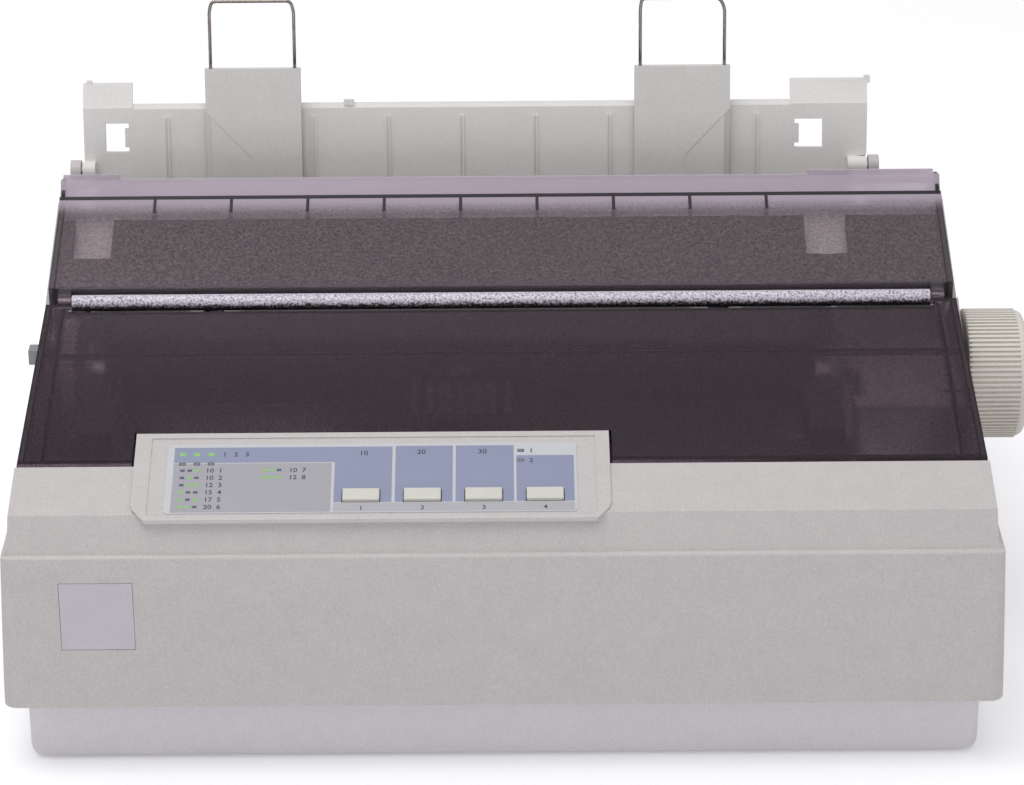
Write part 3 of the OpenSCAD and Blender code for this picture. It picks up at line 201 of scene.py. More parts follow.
def draw_out(mesh, faces, by):
    """Draws a sheet's faces out into a closed solid, by a vector in metres."""
    drawn = bmesh.ops.extrude_face_region(mesh, geom=faces)["geom"]
    bmesh.ops.translate(mesh, verts=[item for item in drawn if isinstance(item, bmesh.types.BMVert)], vec=by)


def face_outwards(mesh):
    """Turns a closed mesh's faces to the outside."""
    bmesh.ops.recalc_face_normals(mesh, faces=mesh.faces)
    return mesh


def carve(made, mesh):
    """Takes a closed mesh out of a piece for good."""
    cutter = link_mesh("cutter", mesh)
    trim = made.modifiers.new("trim", "BOOLEAN")
    trim.operation, trim.solver, trim.object = "DIFFERENCE", "EXACT", cutter
    bpy.context.view_layer.update()
    left = bpy.data.meshes.new_from_object(made.evaluated_get(bpy.context.evaluated_depsgraph_get()))
    made.modifiers.clear()
    made.data = left
    bpy.data.objects.remove(cutter)


def eased_copy(node, width, finish, segments=2, change=None, cutter=None):
    """The CAD piece with its moulded edges eased, standing in its place."""
    mesh = bmesh.new()
    mesh.from_mesh(frame["nodes"][node].data)
    bmesh.ops.remove_doubles(mesh, verts=mesh.verts, dist=2e-6)
    if change:
        change(mesh)
    bmesh.ops.dissolve_limit(mesh, angle_limit=math.radians(0.6), verts=mesh.verts, edges=mesh.edges,
                             use_dissolve_boundaries=False, delimit={"NORMAL"})
    for edge in mesh.edges:
        edge.smooth = not edge.is_manifold or edge.calc_face_angle(0) < SOFT_EDGE
    for face in mesh.faces:
        face.smooth = True
    made = link_mesh(node + "_eased", mesh)
    if cutter:
        carve(made, cutter)
    ease = made.modifiers.new("eased_edges", "BEVEL")
    ease.width, ease.segments, ease.limit_method, ease.angle_limit = width * MM, segments, "ANGLE", SOFT_EDGE
    ease.use_clamp_overlap, ease.harden_normals = True, True
    return settle(made, node_body[node], finish, [node])


# ---- finishes ----
def start_finish(name):
    """An empty finish, and the piece's own coordinates to lay its grain by."""
    finish = bpy.data.materials.new(name)
    finish.use_nodes = True
    tree = finish.node_tree
    tree.nodes.clear()
    where = add(tree, "TexCoord")
    return finish, tree, where.outputs["Object"]


def moulded_plastic(name, low, high, grain_mm=0.7, depth_mm=0.035, roughness=0.5, mottling_mm=9.0):
    """Injection-moulded plastic with a spark-eroded grain: a soft, slightly speckled sheen.

    Real grain is about 0.1 mm, too fine to show, so it is drawn several times coarser.
    """
    finish, tree, where = start_finish(name)
    cloud = add(tree, "TexNoise", {"Vector": where, "Scale": 1000 / mottling_mm, "Detail": 3.0, "Roughness": 0.5})
    speck = add(tree, "TexNoise", {"Vector": where, "Scale": 1000 / grain_mm, "Detail": 1.0, "Roughness": 0.5})
    faint = add(tree, "Math", {0: cloud.outputs["Fac"], 1: 0.25}, operation="MULTIPLY")
    mixed = add(tree, "Math", {0: speck.outputs["Fac"], 1: 0.75, 2: faint.outputs[0]}, operation="MULTIPLY_ADD")
    colour = add(tree, "ValToRGB", {"Fac": mixed.outputs[0]}, stops=((0.3, low), (0.7, high)))
    gloss = add(tree, "MapRange", {"Value": speck.outputs["Fac"], "To Min": roughness - 0.06,
                                   "To Max": roughness + 0.08})
    relief = add(tree, "Bump", {"Height": speck.outputs["Fac"], "Distance": depth_mm * MM, "Strength": 0.6})
    shader = add(tree, "BsdfPrincipled", {"Base Color": colour.outputs[0], "Roughness": gloss.outputs[0],
                                          "Normal": relief.outputs[0], "IOR": 1.53})
    add(tree, "OutputMaterial", {"Surface": shader.outputs[0]})
    return finish


def smoked_sheet(name, low, high, density, roughness, haze_share, frost=0.0):
    """Smoke-tinted styrene: clear when thin and near black along its edges, with a fine haze under the gloss, and
    where frost is given, a pale band painted above the foam as light from behind.

    The moulded haze is about 0.2 mm, and is drawn at 0.9 mm so that it shows.
    """
    finish, tree, where = start_finish(name)
    haze = add(tree, "TexNoise", {"Vector": where, "Scale": 1000 / 0.9, "Detail": 2.0, "Roughness": 0.5})
    tint = add(tree, "ValToRGB", {"Fac": haze.outputs["Fac"]}, stops=((0.36, low), (0.64, high)))
    relief = add(tree, "Bump", {"Height": haze.outputs["Fac"], "Distance": 0.03 * MM, "Strength": 0.6})
    shader = add(tree, "BsdfPrincipled", {"Base Color": tint.outputs[0], "Roughness": roughness,
                                          "Specular IOR Level": 0.22, "Specular Tint": linear("#f0d2e6"),
                                          "Transmission Weight": 1 - haze_share, "IOR": 1.52,
                                          "Normal": relief.outputs[0]})
    if frost:
        # Painted light: above the foam a pale diffuse layer is mixed in for the light from behind that soaks into
        # the frosted moulding
        parts = add(tree, "SeparateXYZ", {"Vector": where})
        above = add(tree, "MapRange", {"Value": parts.outputs["Y"], "From Min": 0.0205, "From Max": 0.0285,
                                       "To Min": 0.0, "To Max": frost}, interpolation_type="SMOOTHSTEP")
        painted_backlight_layer = add(tree, "BsdfDiffuse", {"Color": linear("#d6cad6"), "Normal": relief.outputs[0]})
        shader = add(tree, "MixShader", {0: above.outputs[0], 1: shader.outputs[0], 2: painted_backlight_layer.outputs[0]})
    depth = add(tree, "VolumeAbsorption", {"Color": linear("#9e7c94"), "Density": density})
    add(tree, "OutputMaterial", {"Surface": shader.outputs[0], "Volume": depth.outputs[0]})
    return finish


def open_cell_foam():
    """Grey-brown polyurethane foam, open cells about 1 mm across: dull and mottled, with pale cell walls and the
    cell hollows painted darker as shade.
    """
    finish, tree, where = start_finish("open_cell_polyurethane_foam")
    cells = add(tree, "TexVoronoi", {"Vector": where, "Scale": 1000 / 1.15})
    worn = add(tree, "TexNoise", {"Vector": where, "Scale": 1000 / 1.6, "Detail": 3.0, "Roughness": 0.7})
    mixed = add(tree, "Math", {0: cells.outputs["Distance"], 1: worn.outputs["Fac"]}, operation="ADD")
    cell_shade_and_mottle = add(tree, "Math", {0: mixed.outputs[0], 1: 0.5}, operation="MULTIPLY")
    # Painted shade: the colour darkens towards each cell's hollow, where the relief dips
    colour = add(tree, "ValToRGB", {"Fac": cell_shade_and_mottle.outputs[0]}, stops=((0.36, "#0b0a08"), (0.62, "#5c564d")))
    relief = add(tree, "Bump", {"Height": cells.outputs["Distance"], "Distance": 0.5 * MM, "Strength": 0.9})
    shader = add(tree, "BsdfPrincipled", {"Base Color": colour.outputs[0], "Roughness": 0.95,
                                          "Normal": relief.outputs[0]})
    add(tree, "OutputMaterial", {"Surface": shader.outputs[0]})
    return finish


def barrel_frost():
    """Frosted styrene barrel with a sparkling grain; painted highlight and shade make it pale along the top,
    running out to near black underneath.
    """
    finish, tree, where = start_finish("frosted_barrel_painted_light_and_shade")
    sparkle = add(tree, "TexNoise", {"Vector": where, "Scale": 1000 / 0.8, "Detail": 2.0, "Roughness": 0.7})
    facing = add(tree, "SeparateXYZ", {"Vector": add(tree, "NewGeometry").outputs["Normal"]})
    # Painted light and shade: the colour is lifted where the surface faces up and darkened where it faces down
    painted_top_light = add(tree, "MapRange", {"Value": facing.outputs["Z"], "From Min": -0.6, "From Max": 0.5,
                                    "To Min": -0.2, "To Max": 0.12}, interpolation_type="SMOOTHSTEP")
    mixed = add(tree, "Math", {0: sparkle.outputs["Fac"], 1: painted_top_light.outputs[0]}, operation="ADD")
    colour = add(tree, "ValToRGB", {"Fac": mixed.outputs[0]}, stops=((0.38, "#221c21"), (0.70, "#e2dbe7")))
    relief = add(tree, "Bump", {"Height": sparkle.outputs["Fac"], "Distance": 0.12 * MM, "Strength": 0.8})
    shader = add(tree, "BsdfPrincipled", {"Base Color": colour.outputs[0], "Roughness": 0.36,
                                          "Normal": relief.outputs[0]})
    add(tree, "OutputMaterial", {"Surface": shader.outputs[0]})
    return finish


def metal(name, low, high, roughness, grain_mm=0.4, stretch=(1, 1, 1), metallic=1.0):
    """Bare or plated metal, its grain drawn out along the way it was rolled, ground or drawn.

    The marks are under 0.1 mm on the real metal, and are drawn at grain_mm so that they show.
    """
    finish, tree, where = start_finish(name)
    drawn = add(tree, "Mapping", {"Vector": where, "Scale": stretch})
    lines = add(tree, "TexNoise", {"Vector": drawn.outputs[0], "Scale": 1000 / grain_mm, "Detail": 3.0,
                                   "Roughness": 0.5})
    colour = add(tree, "ValToRGB", {"Fac": lines.outputs["Fac"]}, stops=((0.35, low), (0.65, high)))
    gloss = add(tree, "MapRange", {"Value": lines.outputs["Fac"], "To Min": roughness * 0.75,
                                   "To Max": roughness * 1.3})
    relief = add(tree, "Bump", {"Height": lines.outputs["Fac"], "Distance": 0.01 * MM, "Strength": 0.35})
    shader = add(tree, "BsdfPrincipled", {"Base Color": colour.outputs[0], "Roughness": gloss.outputs[0],
                                          "Metallic": metallic, "Normal": relief.outputs[0]})
    add(tree, "OutputMaterial", {"Surface": shader.outputs[0]})
    return finish


def solder_mask_board():
    """Green solder mask over copper runs about 1.2 mm apart: glossy, with the runs just showing."""
    finish, tree, where = start_finish("green_solder_mask_board")
    runs = add(tree, "TexBrick", {"Vector": where, "Scale": 1000 / 12, "Color1": linear("#1c5a2d"),
                                  "Color2": linear("#226835"), "Mortar": linear("#123c1f"), "Mortar Size": 0.03,
                                  "Brick Width": 0.6, "Row Height": 0.1})
    relief = add(tree, "Bump", {"Height": runs.outputs["Fac"], "Distance": 0.03 * MM, "Strength": 0.5})
    shader = add(tree, "BsdfPrincipled", {"Base Color": runs.outputs["Color"], "Roughness": 0.25,
                                          "Normal": relief.outputs[0]})
    add(tree, "OutputMaterial", {"Surface": shader.outputs[0]})
    return finish


def build_finishes():
    """One finish for each material slot, with a few more: copies of the case grey painted lighter, standing in for
    light on mouldings that sit in shade, and the rear cover's thinner smoke.
    """
    return {
        # Case mouldings: warm light grey with a fine spark-eroded grain and a soft sheen
        "case_plastic": moulded_plastic("case_abs_spark_eroded", "#bbb6b4", "#cac5c2"),
        # Painted light: lighter copies of the same grey ABS for the guide, edge guides and base tray, which sit in
        # shade
        "guide_plastic_painted_light": moulded_plastic("guide_abs_painted_lighter", "#dddbd7", "#e7e5e0"),
        "edge_plastic_painted_light": moulded_plastic("edge_guide_abs_painted_lighter", "#d2d0cc", "#dedcd7"),
        "base_plastic_painted_light": moulded_plastic("base_abs_painted_lighter", "#d8d4d7", "#e4e0e3"),
        # Keys and knob: creamier, worn a little smoother by fingers
        "button_plastic": moulded_plastic("button_abs_fine_matt", "#c8c7bd", "#d6d5ca", 0.5, 0.01, 0.4),
        "knob_plastic": moulded_plastic("knob_abs_matt", "#d1cdc3", "#e1ddd3", 0.6, 0.02, 0.5),
        # Covers: brown-violet smoke, the front one dark and the rear one thin and milky above its foam, where it is
        # frosted and painted pale as light from behind
        "smoked_plastic": smoked_sheet("smoke_tinted_styrene", "#b4a8b1", "#fbf6fa", 380, 0.14, 0.0),
        "smoked_rear": smoked_sheet("thin_smoke_tinted_styrene", "#d6ced4", "#ffffff", 64, 0.15, 0.03, 0.5),
        "foam": open_cell_foam(),
        # Films and lens: nearly smooth, and duller than the mouldings around them
        "panel_film": moulded_plastic("screen_printed_polycarbonate_film", "#bfc0c4", "#c9cacc", 0.3, 0.004, 0.38),
        "badge_film": moulded_plastic("brushed_pale_name_film", "#bdbac1", "#c8c5cb", 0.4, 0.006, 0.35),
        "lamp_lens": moulded_plastic("grey_lamp_lens_acrylic", "#70737b", "#84878e", 0.8, 0.01, 0.2),
        # Metals: dull zinc sheet, bright drawn wire and ground bars, black lacquer and oxide on the motors and head
        "sheet_steel": metal("zinc_plated_sheet_steel", "#a8abae", "#c6c8ca", 0.34, 1.6),
        "chrome_wire": metal("chrome_plated_drawn_wire", "#7d7570", "#a39a94", 0.16, 0.3, (1, 1, 0.05)),
        "steel_rod": metal("ground_steel_bar", "#b0b0b2", "#cdcdce", 0.2, 0.3, (0.1, 1, 1)),
        "brass": metal("turned_brass", "#b08d4a", "#cfae69", 0.28, 0.3, (0.1, 1, 1)),
        "motor_can": metal("black_lacquered_motor_can", "#26272a", "#36373a", 0.4, 1.2, metallic=0.35),
        "head_alloy": metal("black_oxide_die_cast_alloy", "#45464a", "#5b5c60", 0.5, 0.9, metallic=0.8),
        "core_laminate": metal("varnished_core_laminations", "#4a3a2a", "#6a533b", 0.5, 0.5, (1, 1, 6), 0.5),
        # Inner mouldings, rubber and ribbon: waxy natural acetal, fine-grained black, dull rubber, matt inked weave
        "gear_plastic": moulded_plastic("natural_acetal_moulding", "#dcd9cc", "#e8e5da", 0.6, 0.006, 0.38),
        "black_plastic": moulded_plastic("black_polystyrene_fine_grain", "#16171a", "#222327", 0.6, 0.02, 0.42),
        "lever_blue": moulded_plastic("grey_acetal_moulding", "#8d8c8a", "#9c9b98", 0.6, 0.01, 0.4),
        "rubber_black": moulded_plastic("ground_nitrile_rubber", "#17181a", "#232427", 0.5, 0.03, 0.72),
        "ribbon_fabric": moulded_plastic("inked_woven_nylon_ribbon", "#0b0c12", "#161820", 0.35, 0.05, 0.7),
        "circuit_board": solder_mask_board(),
    }


studio_world()
sweep_floor()
soft_box("overhead_soft_box", (-0.35, -0.35, 1.7), (0, 0, 0.08), (1.5, 1.1), 13.2)
soft_box("low_front_box", (0.2, -1.9, 0.25), (0, 0, 0.05), (1.6, 0.4), 1.7)
finish_for = build_finishes()

# The paper pan is sheet steel lacquered black, as the motors are
lacquered = {"paper_pan": "motor_can"}
for node, cad_piece in frame["nodes"].items():
    cad_piece.data.materials.clear()
    cad_piece.data.materials.append(finish_for[lacquered.get(node, slot_of[node])])

# ---- forms that the solids hold more simply ----
def front_top(y):
    """Height of the front cover's upper face."""
    return PANEL_HEAD_Z + (y - PANEL_HEAD_Y) * math.tan(FRONT_SLOPE)


def rear_top(y):
    """Height of the rear cover's upper face, up to its bend."""
    return front_top(HINGE_Y) + (y - HINGE_Y) * math.tan(REAR_SLOPE)


def cover_half(y):
    """Half the covers' width, which narrows towards the back."""
    return 168.5 - (y - PANEL_HEAD_Y) * 0.0215


def round_boss_corners(mesh):
    """The raised panel's two lower corners sweep in where it runs out into the band."""
    starts, run, reach = 4, 7.6, 5.4
    for u in (starts, 1.5, -1):
        cut_across(mesh, PANEL_FRAME, (0, u, 0), (0, 1, 0))

    def rule(point):
        sweep = min(max((starts - point.y) / run, 0), 1) ** 1.7 * reach if -6 < point.z < 3 else 0
        for edge, inwards in ((BOSS_LEFT, 1), (BOSS_RIGHT, -1)):
            if abs(point.x - edge) < 0.3:
                point.x += inwards * sweep
        return point
    reshape(mesh, PANEL_FRAME, rule)


def drop_front_rib(mesh):
    """The rib nearest the front edge is only a faint step under the sheet."""
    def rule(point):
        underside = front_top(point.y) - SHEET
        if 59.5 < point.y < 62 and point.z < underside - 0.3:
            point.z = underside - 0.08
        return point
    reshape(mesh, CASE_FRAME, rule)


def lower_rear_edge(mesh):
    """The rear cover's flange stands a little lower above its bend."""
    bend, climb, drop = 152.7, 7.1, 1.8

    def rule(point):
        if point.y > 166 and point.z > bend:
            point.z -= drop * min((point.z - bend) / climb, 1)
        return point
    reshape(mesh, CASE_FRAME, rule)


def lower_plate(z):
    """Height up the sheet guide, drawn in above its pivot."""
    pivot_top = 4
    return pivot_top + (z - pivot_top) * 0.903 if z > pivot_top else z


def trim_guide(mesh):
    """The plate's top sits a little lower and its wings reach out to the lugs."""
    foot = 3.7
    cut_across(mesh, GUIDE_FRAME, (0, 0, foot), (0, 0, 1))

    def rule(point):
        if point.z > foot - 0.05 and point.x > WING_RIGHT:
            point.x = WING_RIGHT + (point.x - WING_RIGHT) * 1.14
        if point.z > foot - 0.05 and point.x < WING_LEFT:
            point.x = WING_LEFT + (point.x - WING_LEFT) * 1.025
        point.z = lower_plate(point.z)
        return point
    reshape(mesh, GUIDE_FRAME, rule)


def trim_edge_guide(corner_x):
    """The cut-back corner slopes away instead of stepping back."""
    step_y, front_y, corner_y = -1.7, -2.7, 0.35

    def change(mesh):
        def rule(point):
            if point.y > 0.85 and 10 < point.z < 31:
                point.z = lower_plate(point.z)
            elif point.z > 30:
                point.z -= 1
            if abs(point.y - step_y) < 0.06 and point.z < 23.5:
                point.y = corner_y if abs(point.x - corner_x) < 0.5 and point.z < -7 else front_y
            return point
        reshape(mesh, GUIDE_FRAME, rule)
    return change


def slot_cutter():
    """The hollow in front of the barrel, where the sheet drops to meet it from below."""
    mesh = bmesh.new()
    along_barrel(mesh, [(111.9, 140), (111.9, front_top(111.9)), (113.0, 127.9), (115.2, 126.3), (117.9, 125.9),
                        (118.6, 126.9), (118.0, 128.6), (118.3, 130.3), (119.4, 131.6), (HINGE_Y, 132.1),
                        (HINGE_Y, 140)], 158.4)
    return face_outwards(mesh)


# Each moulding's eased edge in millimetres
edge_widths = {"upper_case": 0.7, "base_tray": 0.6, "front_cover": 0.35, "rear_cover": 0.4, "sheet_guide": 0.35,
               "left_edge_guide": 0.4, "right_edge_guide": 0.4, "ribbon_cartridge": 0.6}
changes = {"upper_case": round_boss_corners, "front_cover": drop_front_rib, "rear_cover": lower_rear_edge,
           "sheet_guide": trim_guide, "left_edge_guide": trim_edge_guide(-112.8),
           "right_edge_guide": trim_edge_guide(88.4)}
# Mouldings given their own finish: lighter copies of the case grey as painted light for those in shade, and the
# rear cover's thinner smoke
own_finish = {"base_tray": "base_plastic_painted_light", "sheet_guide": "guide_plastic_painted_light", "left_edge_guide": "edge_plastic_painted_light",
              "right_edge_guide": "edge_plastic_painted_light", "rear_cover": "smoked_rear"}

for node, width in edge_widths.items():
    eased_copy(node, width, finish_for[own_finish.get(node, slot_of[node])], change=changes.get(node),
               cutter=slot_cutter() if node == "front_cover" else None)


# ---- control panel print, lamps and keys ----
# The panel's own coordinates, in metres: x across, u up its slope
PANEL = Matrix.Diagonal((MM, MM, MM, 1)) @ Matrix.Translation(CASE_SHIFT) @ PANEL_FRAME
FILM_TOP = 0.65
INK = 0.04

FIRST_KEY, KEY_PITCH, KEY_ROW = -48.6, 21.1, 7.9
KEY_HALF_W, KEY_HALF_U = 6.75, 3.15
KEY_HOLES = [(x - KEY_HALF_W, KEY_ROW - KEY_HALF_U, x + KEY_HALF_W, KEY_ROW + KEY_HALF_U)
             for x in (FIRST_KEY + i * KEY_PITCH for i in range(4))]
LAMP_HOLES = [(x - 1.2, u - 0.8, x + 1.2, u + 0.8)
              for x, u in ((-110.8, 23.9), (-105.8, 23.9), (-100.9, 23.9), (6.5, 29.4), (6.5, 24.7))]


def clear_of_holes(field):
    """Splits a printed field so that it stops at the keys' and lamps' openings."""
    parts = [field]
    for hx0, hu0, hx1, hu1 in KEY_HOLES + LAMP_HOLES:
        kept = []
        for x0, u0, x1, u1 in parts:
            if hx0 >= x1 or hx1 <= x0 or hu0 >= u1 or hu1 <= u0:
                kept.append((x0, u0, x1, u1))
                continue
            low, high = max(u0, hu0), min(u1, hu1)
            kept += [p for p in ((x0, u0, x1, low), (x0, high, x1, u1), (x0, low, hx0, high), (hx1, low, x1, high))
                     if p[2] - p[0] > 0.05 and p[3] - p[1] > 0.05]
        parts = kept
    return parts


def printed(name, fields, low, high):
    """Fields screen-printed on the panel film, as a thin layer of ink."""
    mesh = bmesh.new()
    for field in fields:
        for x0, u0, x1, u1 in clear_of_holes(field):
            add_block(mesh, (x0, u0, FILM_TOP - 0.02), (x1, u1, FILM_TOP + INK), PANEL)
    ink = moulded_plastic(name + "_ink", low, high, 0.3, 0.002, 0.4, 14)
    return settle(link_mesh(name, mesh), "chassis", ink)


def print_numbers(name, words, finish):
    """Plain numbers printed on the panel, each given as (text, x, u, height)."""
    mesh = bmesh.new()
    for text, x, u, tall in words:
        letters = bpy.data.curves.new("number", "FONT")
        letters.body, letters.size, letters.extrude, letters.offset = text, tall, 0.012, 0.05
        letters.resolution_u = 3
        carrier = bpy.data.objects.new("number", letters)
        flat = bpy.data.meshes.new_from_object(carrier)
        flat.transform(PANEL @ Matrix.Translation((x, u, FILM_TOP + INK)))
        mesh.from_mesh(flat)
        bpy.data.objects.remove(carrier)
        bpy.data.meshes.remove(flat)
    bmesh.ops.remove_doubles(mesh, verts=mesh.verts, dist=1e-7)
    return settle(link_mesh(name, mesh), "chassis", finish)


def dress_panel():
    """Blue and grey fields, rows of small marks, plain numbers, and the four keys."""
    printed("panel_blue_fields", [(-113.8, 24.4, -58.0, 31.8), (-58.0, 4.9, -38.1, 31.8), (-37.0, 4.9, -17.1, 32.0),
                                  (-16.1, 4.9, 4.0, 32.0), (4.9, 4.9, 24.8, 27.0)], "#868ca6", "#9197b0")
    printed("panel_grey_field", [(-113.8, 0.5, -59.0, 24.0)], "#9e9ea3", "#a6a6aa")
    printed("panel_grey_strip", [(-58.0, 0.5, 24.8, 4.5)], "#a9a9ae", "#b2b2b5")
    rows = [20.6, 17.1, 13.6, 10.1, 6.6, 3.1]
    mark_pitch, mark_wide, mark_half = 2.5, 1.6, 0.55
    green, dark = [(x - 1.0, 27.6, x + 1.0, 29.2) for x in (-110.9, -105.9, -100.9)], []
    first_column = [(0, 0, 1), (0, 1, 0), (0, 1, 1), (1, 0, 0), (1, 0, 1), (1, 1, 0)]
    second_column = [(1, 1, 0), (1, 1, 1)]
    for left, column in ((-111.4, first_column), (-83.0, second_column)):
        for u, pattern in zip(rows, column):
            for i, lit in enumerate(pattern):
                x = left + i * mark_pitch
                (green if lit else dark).append((x, u - mark_half, x + mark_wide, u + mark_half))
    raised = Matrix.Translation((0, 0, INK))
    for name, marks, low, high in (("panel_green_marks", green, "#7fb962", "#93c976"),
                                   ("panel_dark_marks", dark, "#4b4d66", "#5a5c75")):
        mesh = bmesh.new()
        for x0, u0, x1, u1 in marks:
            add_block(mesh, (x0, u0, FILM_TOP), (x1, u1, FILM_TOP + INK), PANEL @ raised)
        ink = moulded_plastic(name + "_ink", low, high, 0.3, 0.002, 0.4)
        settle(link_mesh(name, mesh), "chassis", ink)
    ink = moulded_plastic("dark_blue_screen_ink", "#34374f", "#40435c", 0.3, 0.002, 0.45)
    words = [("1   2   3", -97.0, 27.4, 2.9), ("10", -49.6, 27.6, 3.1), ("20", -29.6, 28.0, 3.1),
             ("30", -8.4, 28.0, 3.1), ("1", 9.4, 28.4, 2.8), ("2", 9.4, 23.6, 2.8),
             ("1", -49.2, 1.2, 2.7), ("2", -28.1, 1.2, 2.7), ("3", -7.0, 1.2, 2.7), ("4", 14.1, 1.2, 2.7)]
    words += [(text, -102.6, u - 1.0, 2.9)
              for text, u in zip(("10  1", "10  2", "12  3", "15  4", "17  5", "20  6"), rows)]
    words += [(text, -73.8, u - 1.0, 2.9) for text, u in zip(("10  7", "12  8"), rows)]
    print_numbers("panel_numbers", words, ink)
    for key in ("font_button", "feed_button", "load_button", "pause_button"):
        eased_copy(key, 0.55, finish_for["button_plastic"], 3)


dress_panel()


# ---- smoked covers ----
def sloped_bar(mesh, x, y, surface, drop, thick):
    """A bar under a cover, its top and bottom parallel to the cover's surface."""
    corners = [mesh.verts.new(place(px, py, surface(py) - drop - pz))
               for px in x for py in y for pz in (0, thick)]
    bmesh.ops.convex_hull(mesh, input=corners)


def skirt_painted_shade(mesh, side, y, surface, drop, deep):
    """Painted shade: a near-black core for the dark depth of a skirt seen down its whole height."""
    corners = [mesh.verts.new(place(side * (cover_half(py) - inset), py, surface(py) - pz))
               for py in y for inset in (0.45, 1.75) for pz in (drop, deep)]
    bmesh.ops.convex_hull(mesh, input=corners)


def dress_covers():
    """Near-black pieces painted as shade, where the eye looks along the sheet: rims, ribs, clips and the edges
    beside the barrel, with the rear cover's bend and ribs.
    """
    # Painted shade: an opaque near-black finish for the shade and depth that these pieces stand in for
    thick = moulded_plastic("smoked_styrene_painted_shade", "#1b141a", "#262026", 0.8, 0.004, 0.3)
    rim_top, rim_foot, under = 0.7, 8.5, SHEET + 0.05
    ribs = bmesh.new()
    cross_rib, side_rib = SHEET + 1.55, 5.05
    sloped_bar(ribs, (-166, 166), (89.0, 90.3), front_top, cross_rib, 0.3)
    for side in (-1, 1):
        sloped_bar(ribs, sorted((side * 160.4, side * 161.8)), (33.2, 111), front_top, side_rib, 0.3)
        sloped_bar(ribs, sorted((side * 157.4, side * 165.8)), (66.6, 67.7), front_top, under, 0.5)
        skirt_painted_shade(ribs, side, (31.5, 115.8), front_top, rim_top, rim_foot)
        for inner, outer, back in ((154.4, 156.3, 34.6), (157.0, 158.2, 35.8), (164.2, 165.8, 34.8)):
            sloped_bar(ribs, sorted((side * inner, side * outer)), (33.3, back), front_top, under, 0.7)
    along_barrel(ribs, [(112.2, 127.25), (113.2, 127.0), (115.2, 125.6), (118.0, 125.0), (118.9, 126.2),
                        (118.4, 126.3), (117.9, 125.75), (115.3, 126.2), (113.3, 127.6), (112.0, 128.4)], 158.2)
    settle(link_mesh("front_cover_painted_shade", face_outwards(ribs)), "front_cover_assembly", thick)

    # Painted shade along the rear cover: its skirts, front edge by the barrel, bend line and ribs seen through it
    bend = 167.5
    edges = bmesh.new()
    for side in (-1, 1):
        skirt_painted_shade(edges, side, (125.6, bend), rear_top, rim_top, rim_foot)
        skirt_painted_shade(edges, side, (bend, 174.5), lambda y: rear_top(bend) + (y - bend) * 0.5 + 1.4, 0, 6)
    along_barrel(edges, [(125.5, 124.9), (126.6, 125.4), (126.6, 132.6), (125.5, 132.1)], 164)
    low = rear_top(168.9) - SHEET - 0.75
    along_barrel(edges, [(168.2, low - 0.9), (169.6, low - 0.5), (170.2, low + 0.9), (169.3, low + 0.3)], 163.6)
    for i in range(-4, 5):
        x = RIB_X + RIB_PITCH * i
        sloped_bar(edges, (x - 0.6, x + 0.6), (159.6, 168.2), rear_top, -0.04, 0.1)
    sloped_bar(edges, (-165.8, 165.8), (bend - 1.6, bend), rear_top, -0.05, 0.1)
    settle(link_mesh("rear_cover_painted_shade", face_outwards(edges)), "rear_cover_assembly", thick)

    frosted = barrel_frost()
    tube = bmesh.new()
    lay = Matrix.Translation(place(0, HINGE_Y, BARREL_Z)) @ Matrix.Rotation(math.pi / 2, 4, "Y")
    bmesh.ops.create_cone(tube, cap_ends=True, segments=48, radius1=BARREL_R * MM, radius2=BARREL_R * MM,
                          depth=315 * MM, matrix=lay)
    rims = [e for e in tube.edges if abs(e.calc_face_angle(0)) > 1]
    bmesh.ops.bevel(tube, geom=rims, offset=0.3 * MM, segments=2, profile=0.5, affect="EDGES",
                     material=-1)
    for face in tube.faces:
        face.smooth = len(face.verts) == 4
    settle(link_mesh("hinge_barrel_skin", tube), "front_cover_assembly", frosted)


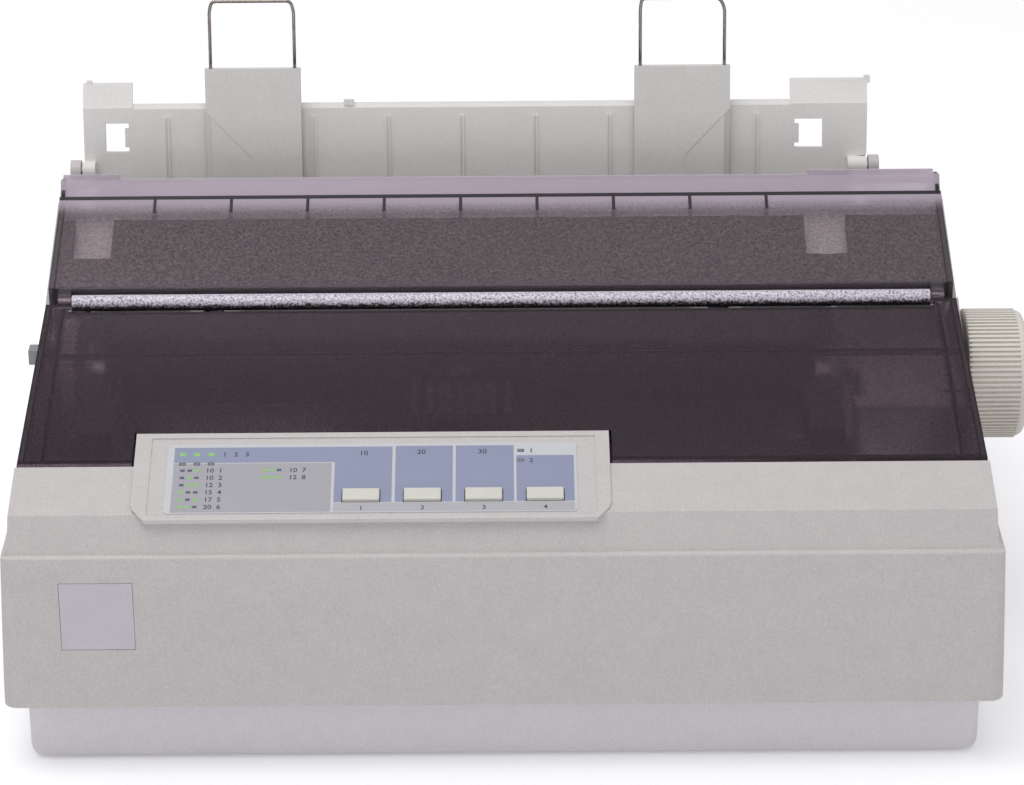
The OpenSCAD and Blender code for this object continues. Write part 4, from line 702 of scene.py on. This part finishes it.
def lay_foam():
    """The foam sheet: a torn, open-celled surface with two notches, in 1.2 mm cells."""
    half, y0, y1, step, thick, air = 164.0, 127.6, 158.8, 1.2, 3.4, 0.45
    notch_y, notches = 140.4, ((-159.0, -144.2), (113.8, 129.2))
    mesh = bmesh.new()
    flat = Matrix.Translation((0, (y0 + y1) / 2, 0)) @ Matrix.Diagonal((half, (y1 - y0) / 2, 1, 1))
    bmesh.ops.create_grid(mesh, x_segments=round(2 * half / step), y_segments=round((y1 - y0) / step),
                          size=1, matrix=flat)
    centres = [(face, face.calc_center_median()) for face in mesh.faces]
    notched = [face for face, at in centres if at.y > notch_y and any(a < at.x < b for a, b in notches)]
    bmesh.ops.delete(mesh, geom=notched, context="FACES")
    for vert in mesh.verts:
        x, y = vert.co.xy
        pit = 0.28 * noise.noise((x * 0.9, y * 0.9, 3)) + 0.2 * noise.noise((x * 0.12, y * 0.12, 7)) - 0.25
        vert.co = place(x, y, rear_top(y) - SHEET - air + pit)
    draw_out(mesh, mesh.faces[:], (0, 0, -thick * MM))
    settle(link_mesh("foam_sheet", face_outwards(mesh)), node_body["acoustic_foam"],
           finish_for["foam"], ["acoustic_foam"])


def bend_wire(name, node, points):
    """A drawn wire bent along straight runs, given in the guide's own millimetres."""
    spine = bpy.data.curves.new(name, "CURVE")
    spine.dimensions, spine.bevel_depth, spine.bevel_resolution = "3D", 0.65 * MM, 3
    spine.use_fill_caps = True
    path = [Vector((x, -1, z)) for x, z in points]
    smooth = [path[0]]
    for before, here, after in zip(path, path[1:], path[2:]):
        reach = min(3.0, (here - before).length * 0.45, (after - here).length * 0.45)
        start, end = here + (before - here).normalized() * reach, here + (after - here).normalized() * reach
        smooth += [start.lerp(here, t).lerp(here.lerp(end, t), t) for t in (0, 0.17, 0.33, 0.5, 0.67, 0.83, 1)]
    smooth.append(path[-1])
    run = spine.splines.new("POLY")
    run.points.add(len(smooth) - 1)
    for point, at in zip(run.points, smooth):
        point.co = (*place(*(GUIDE_FRAME @ at)), 1)
    carrier = bpy.data.objects.new(name, spine)
    tube = bmesh.new()
    tube.from_mesh(bpy.data.meshes.new_from_object(carrier))
    bpy.data.objects.remove(carrier)
    bmesh.ops.remove_doubles(tube, verts=tube.verts, dist=1e-7)
    for face in tube.faces:
        face.smooth = len(face.verts) == 4
    settle(link_mesh(name, face_outwards(tube)), node_body[node], finish_for["chrome_wire"], [node])


dress_covers()
lay_foam()
bend_wire("left_wire_bent", "left_wire", [(-110.6, 12), (-110.6, WIRE_KINK), (-109.6, 65.3),
                                          (-79.6, 65.3), (-78.4, WIRE_KINK), (-78.4, 12)])
bend_wire("right_wire_bent", "right_wire", [(54.0, 12), (54.0, WIRE_KINK), (54.6, 65.3),
                                            (84.3, 65.3), (86.2, WIRE_KINK), (86.2, 12)])
set_camera()
scene = bpy.context.scene
scene.view_settings.view_transform = "Standard"
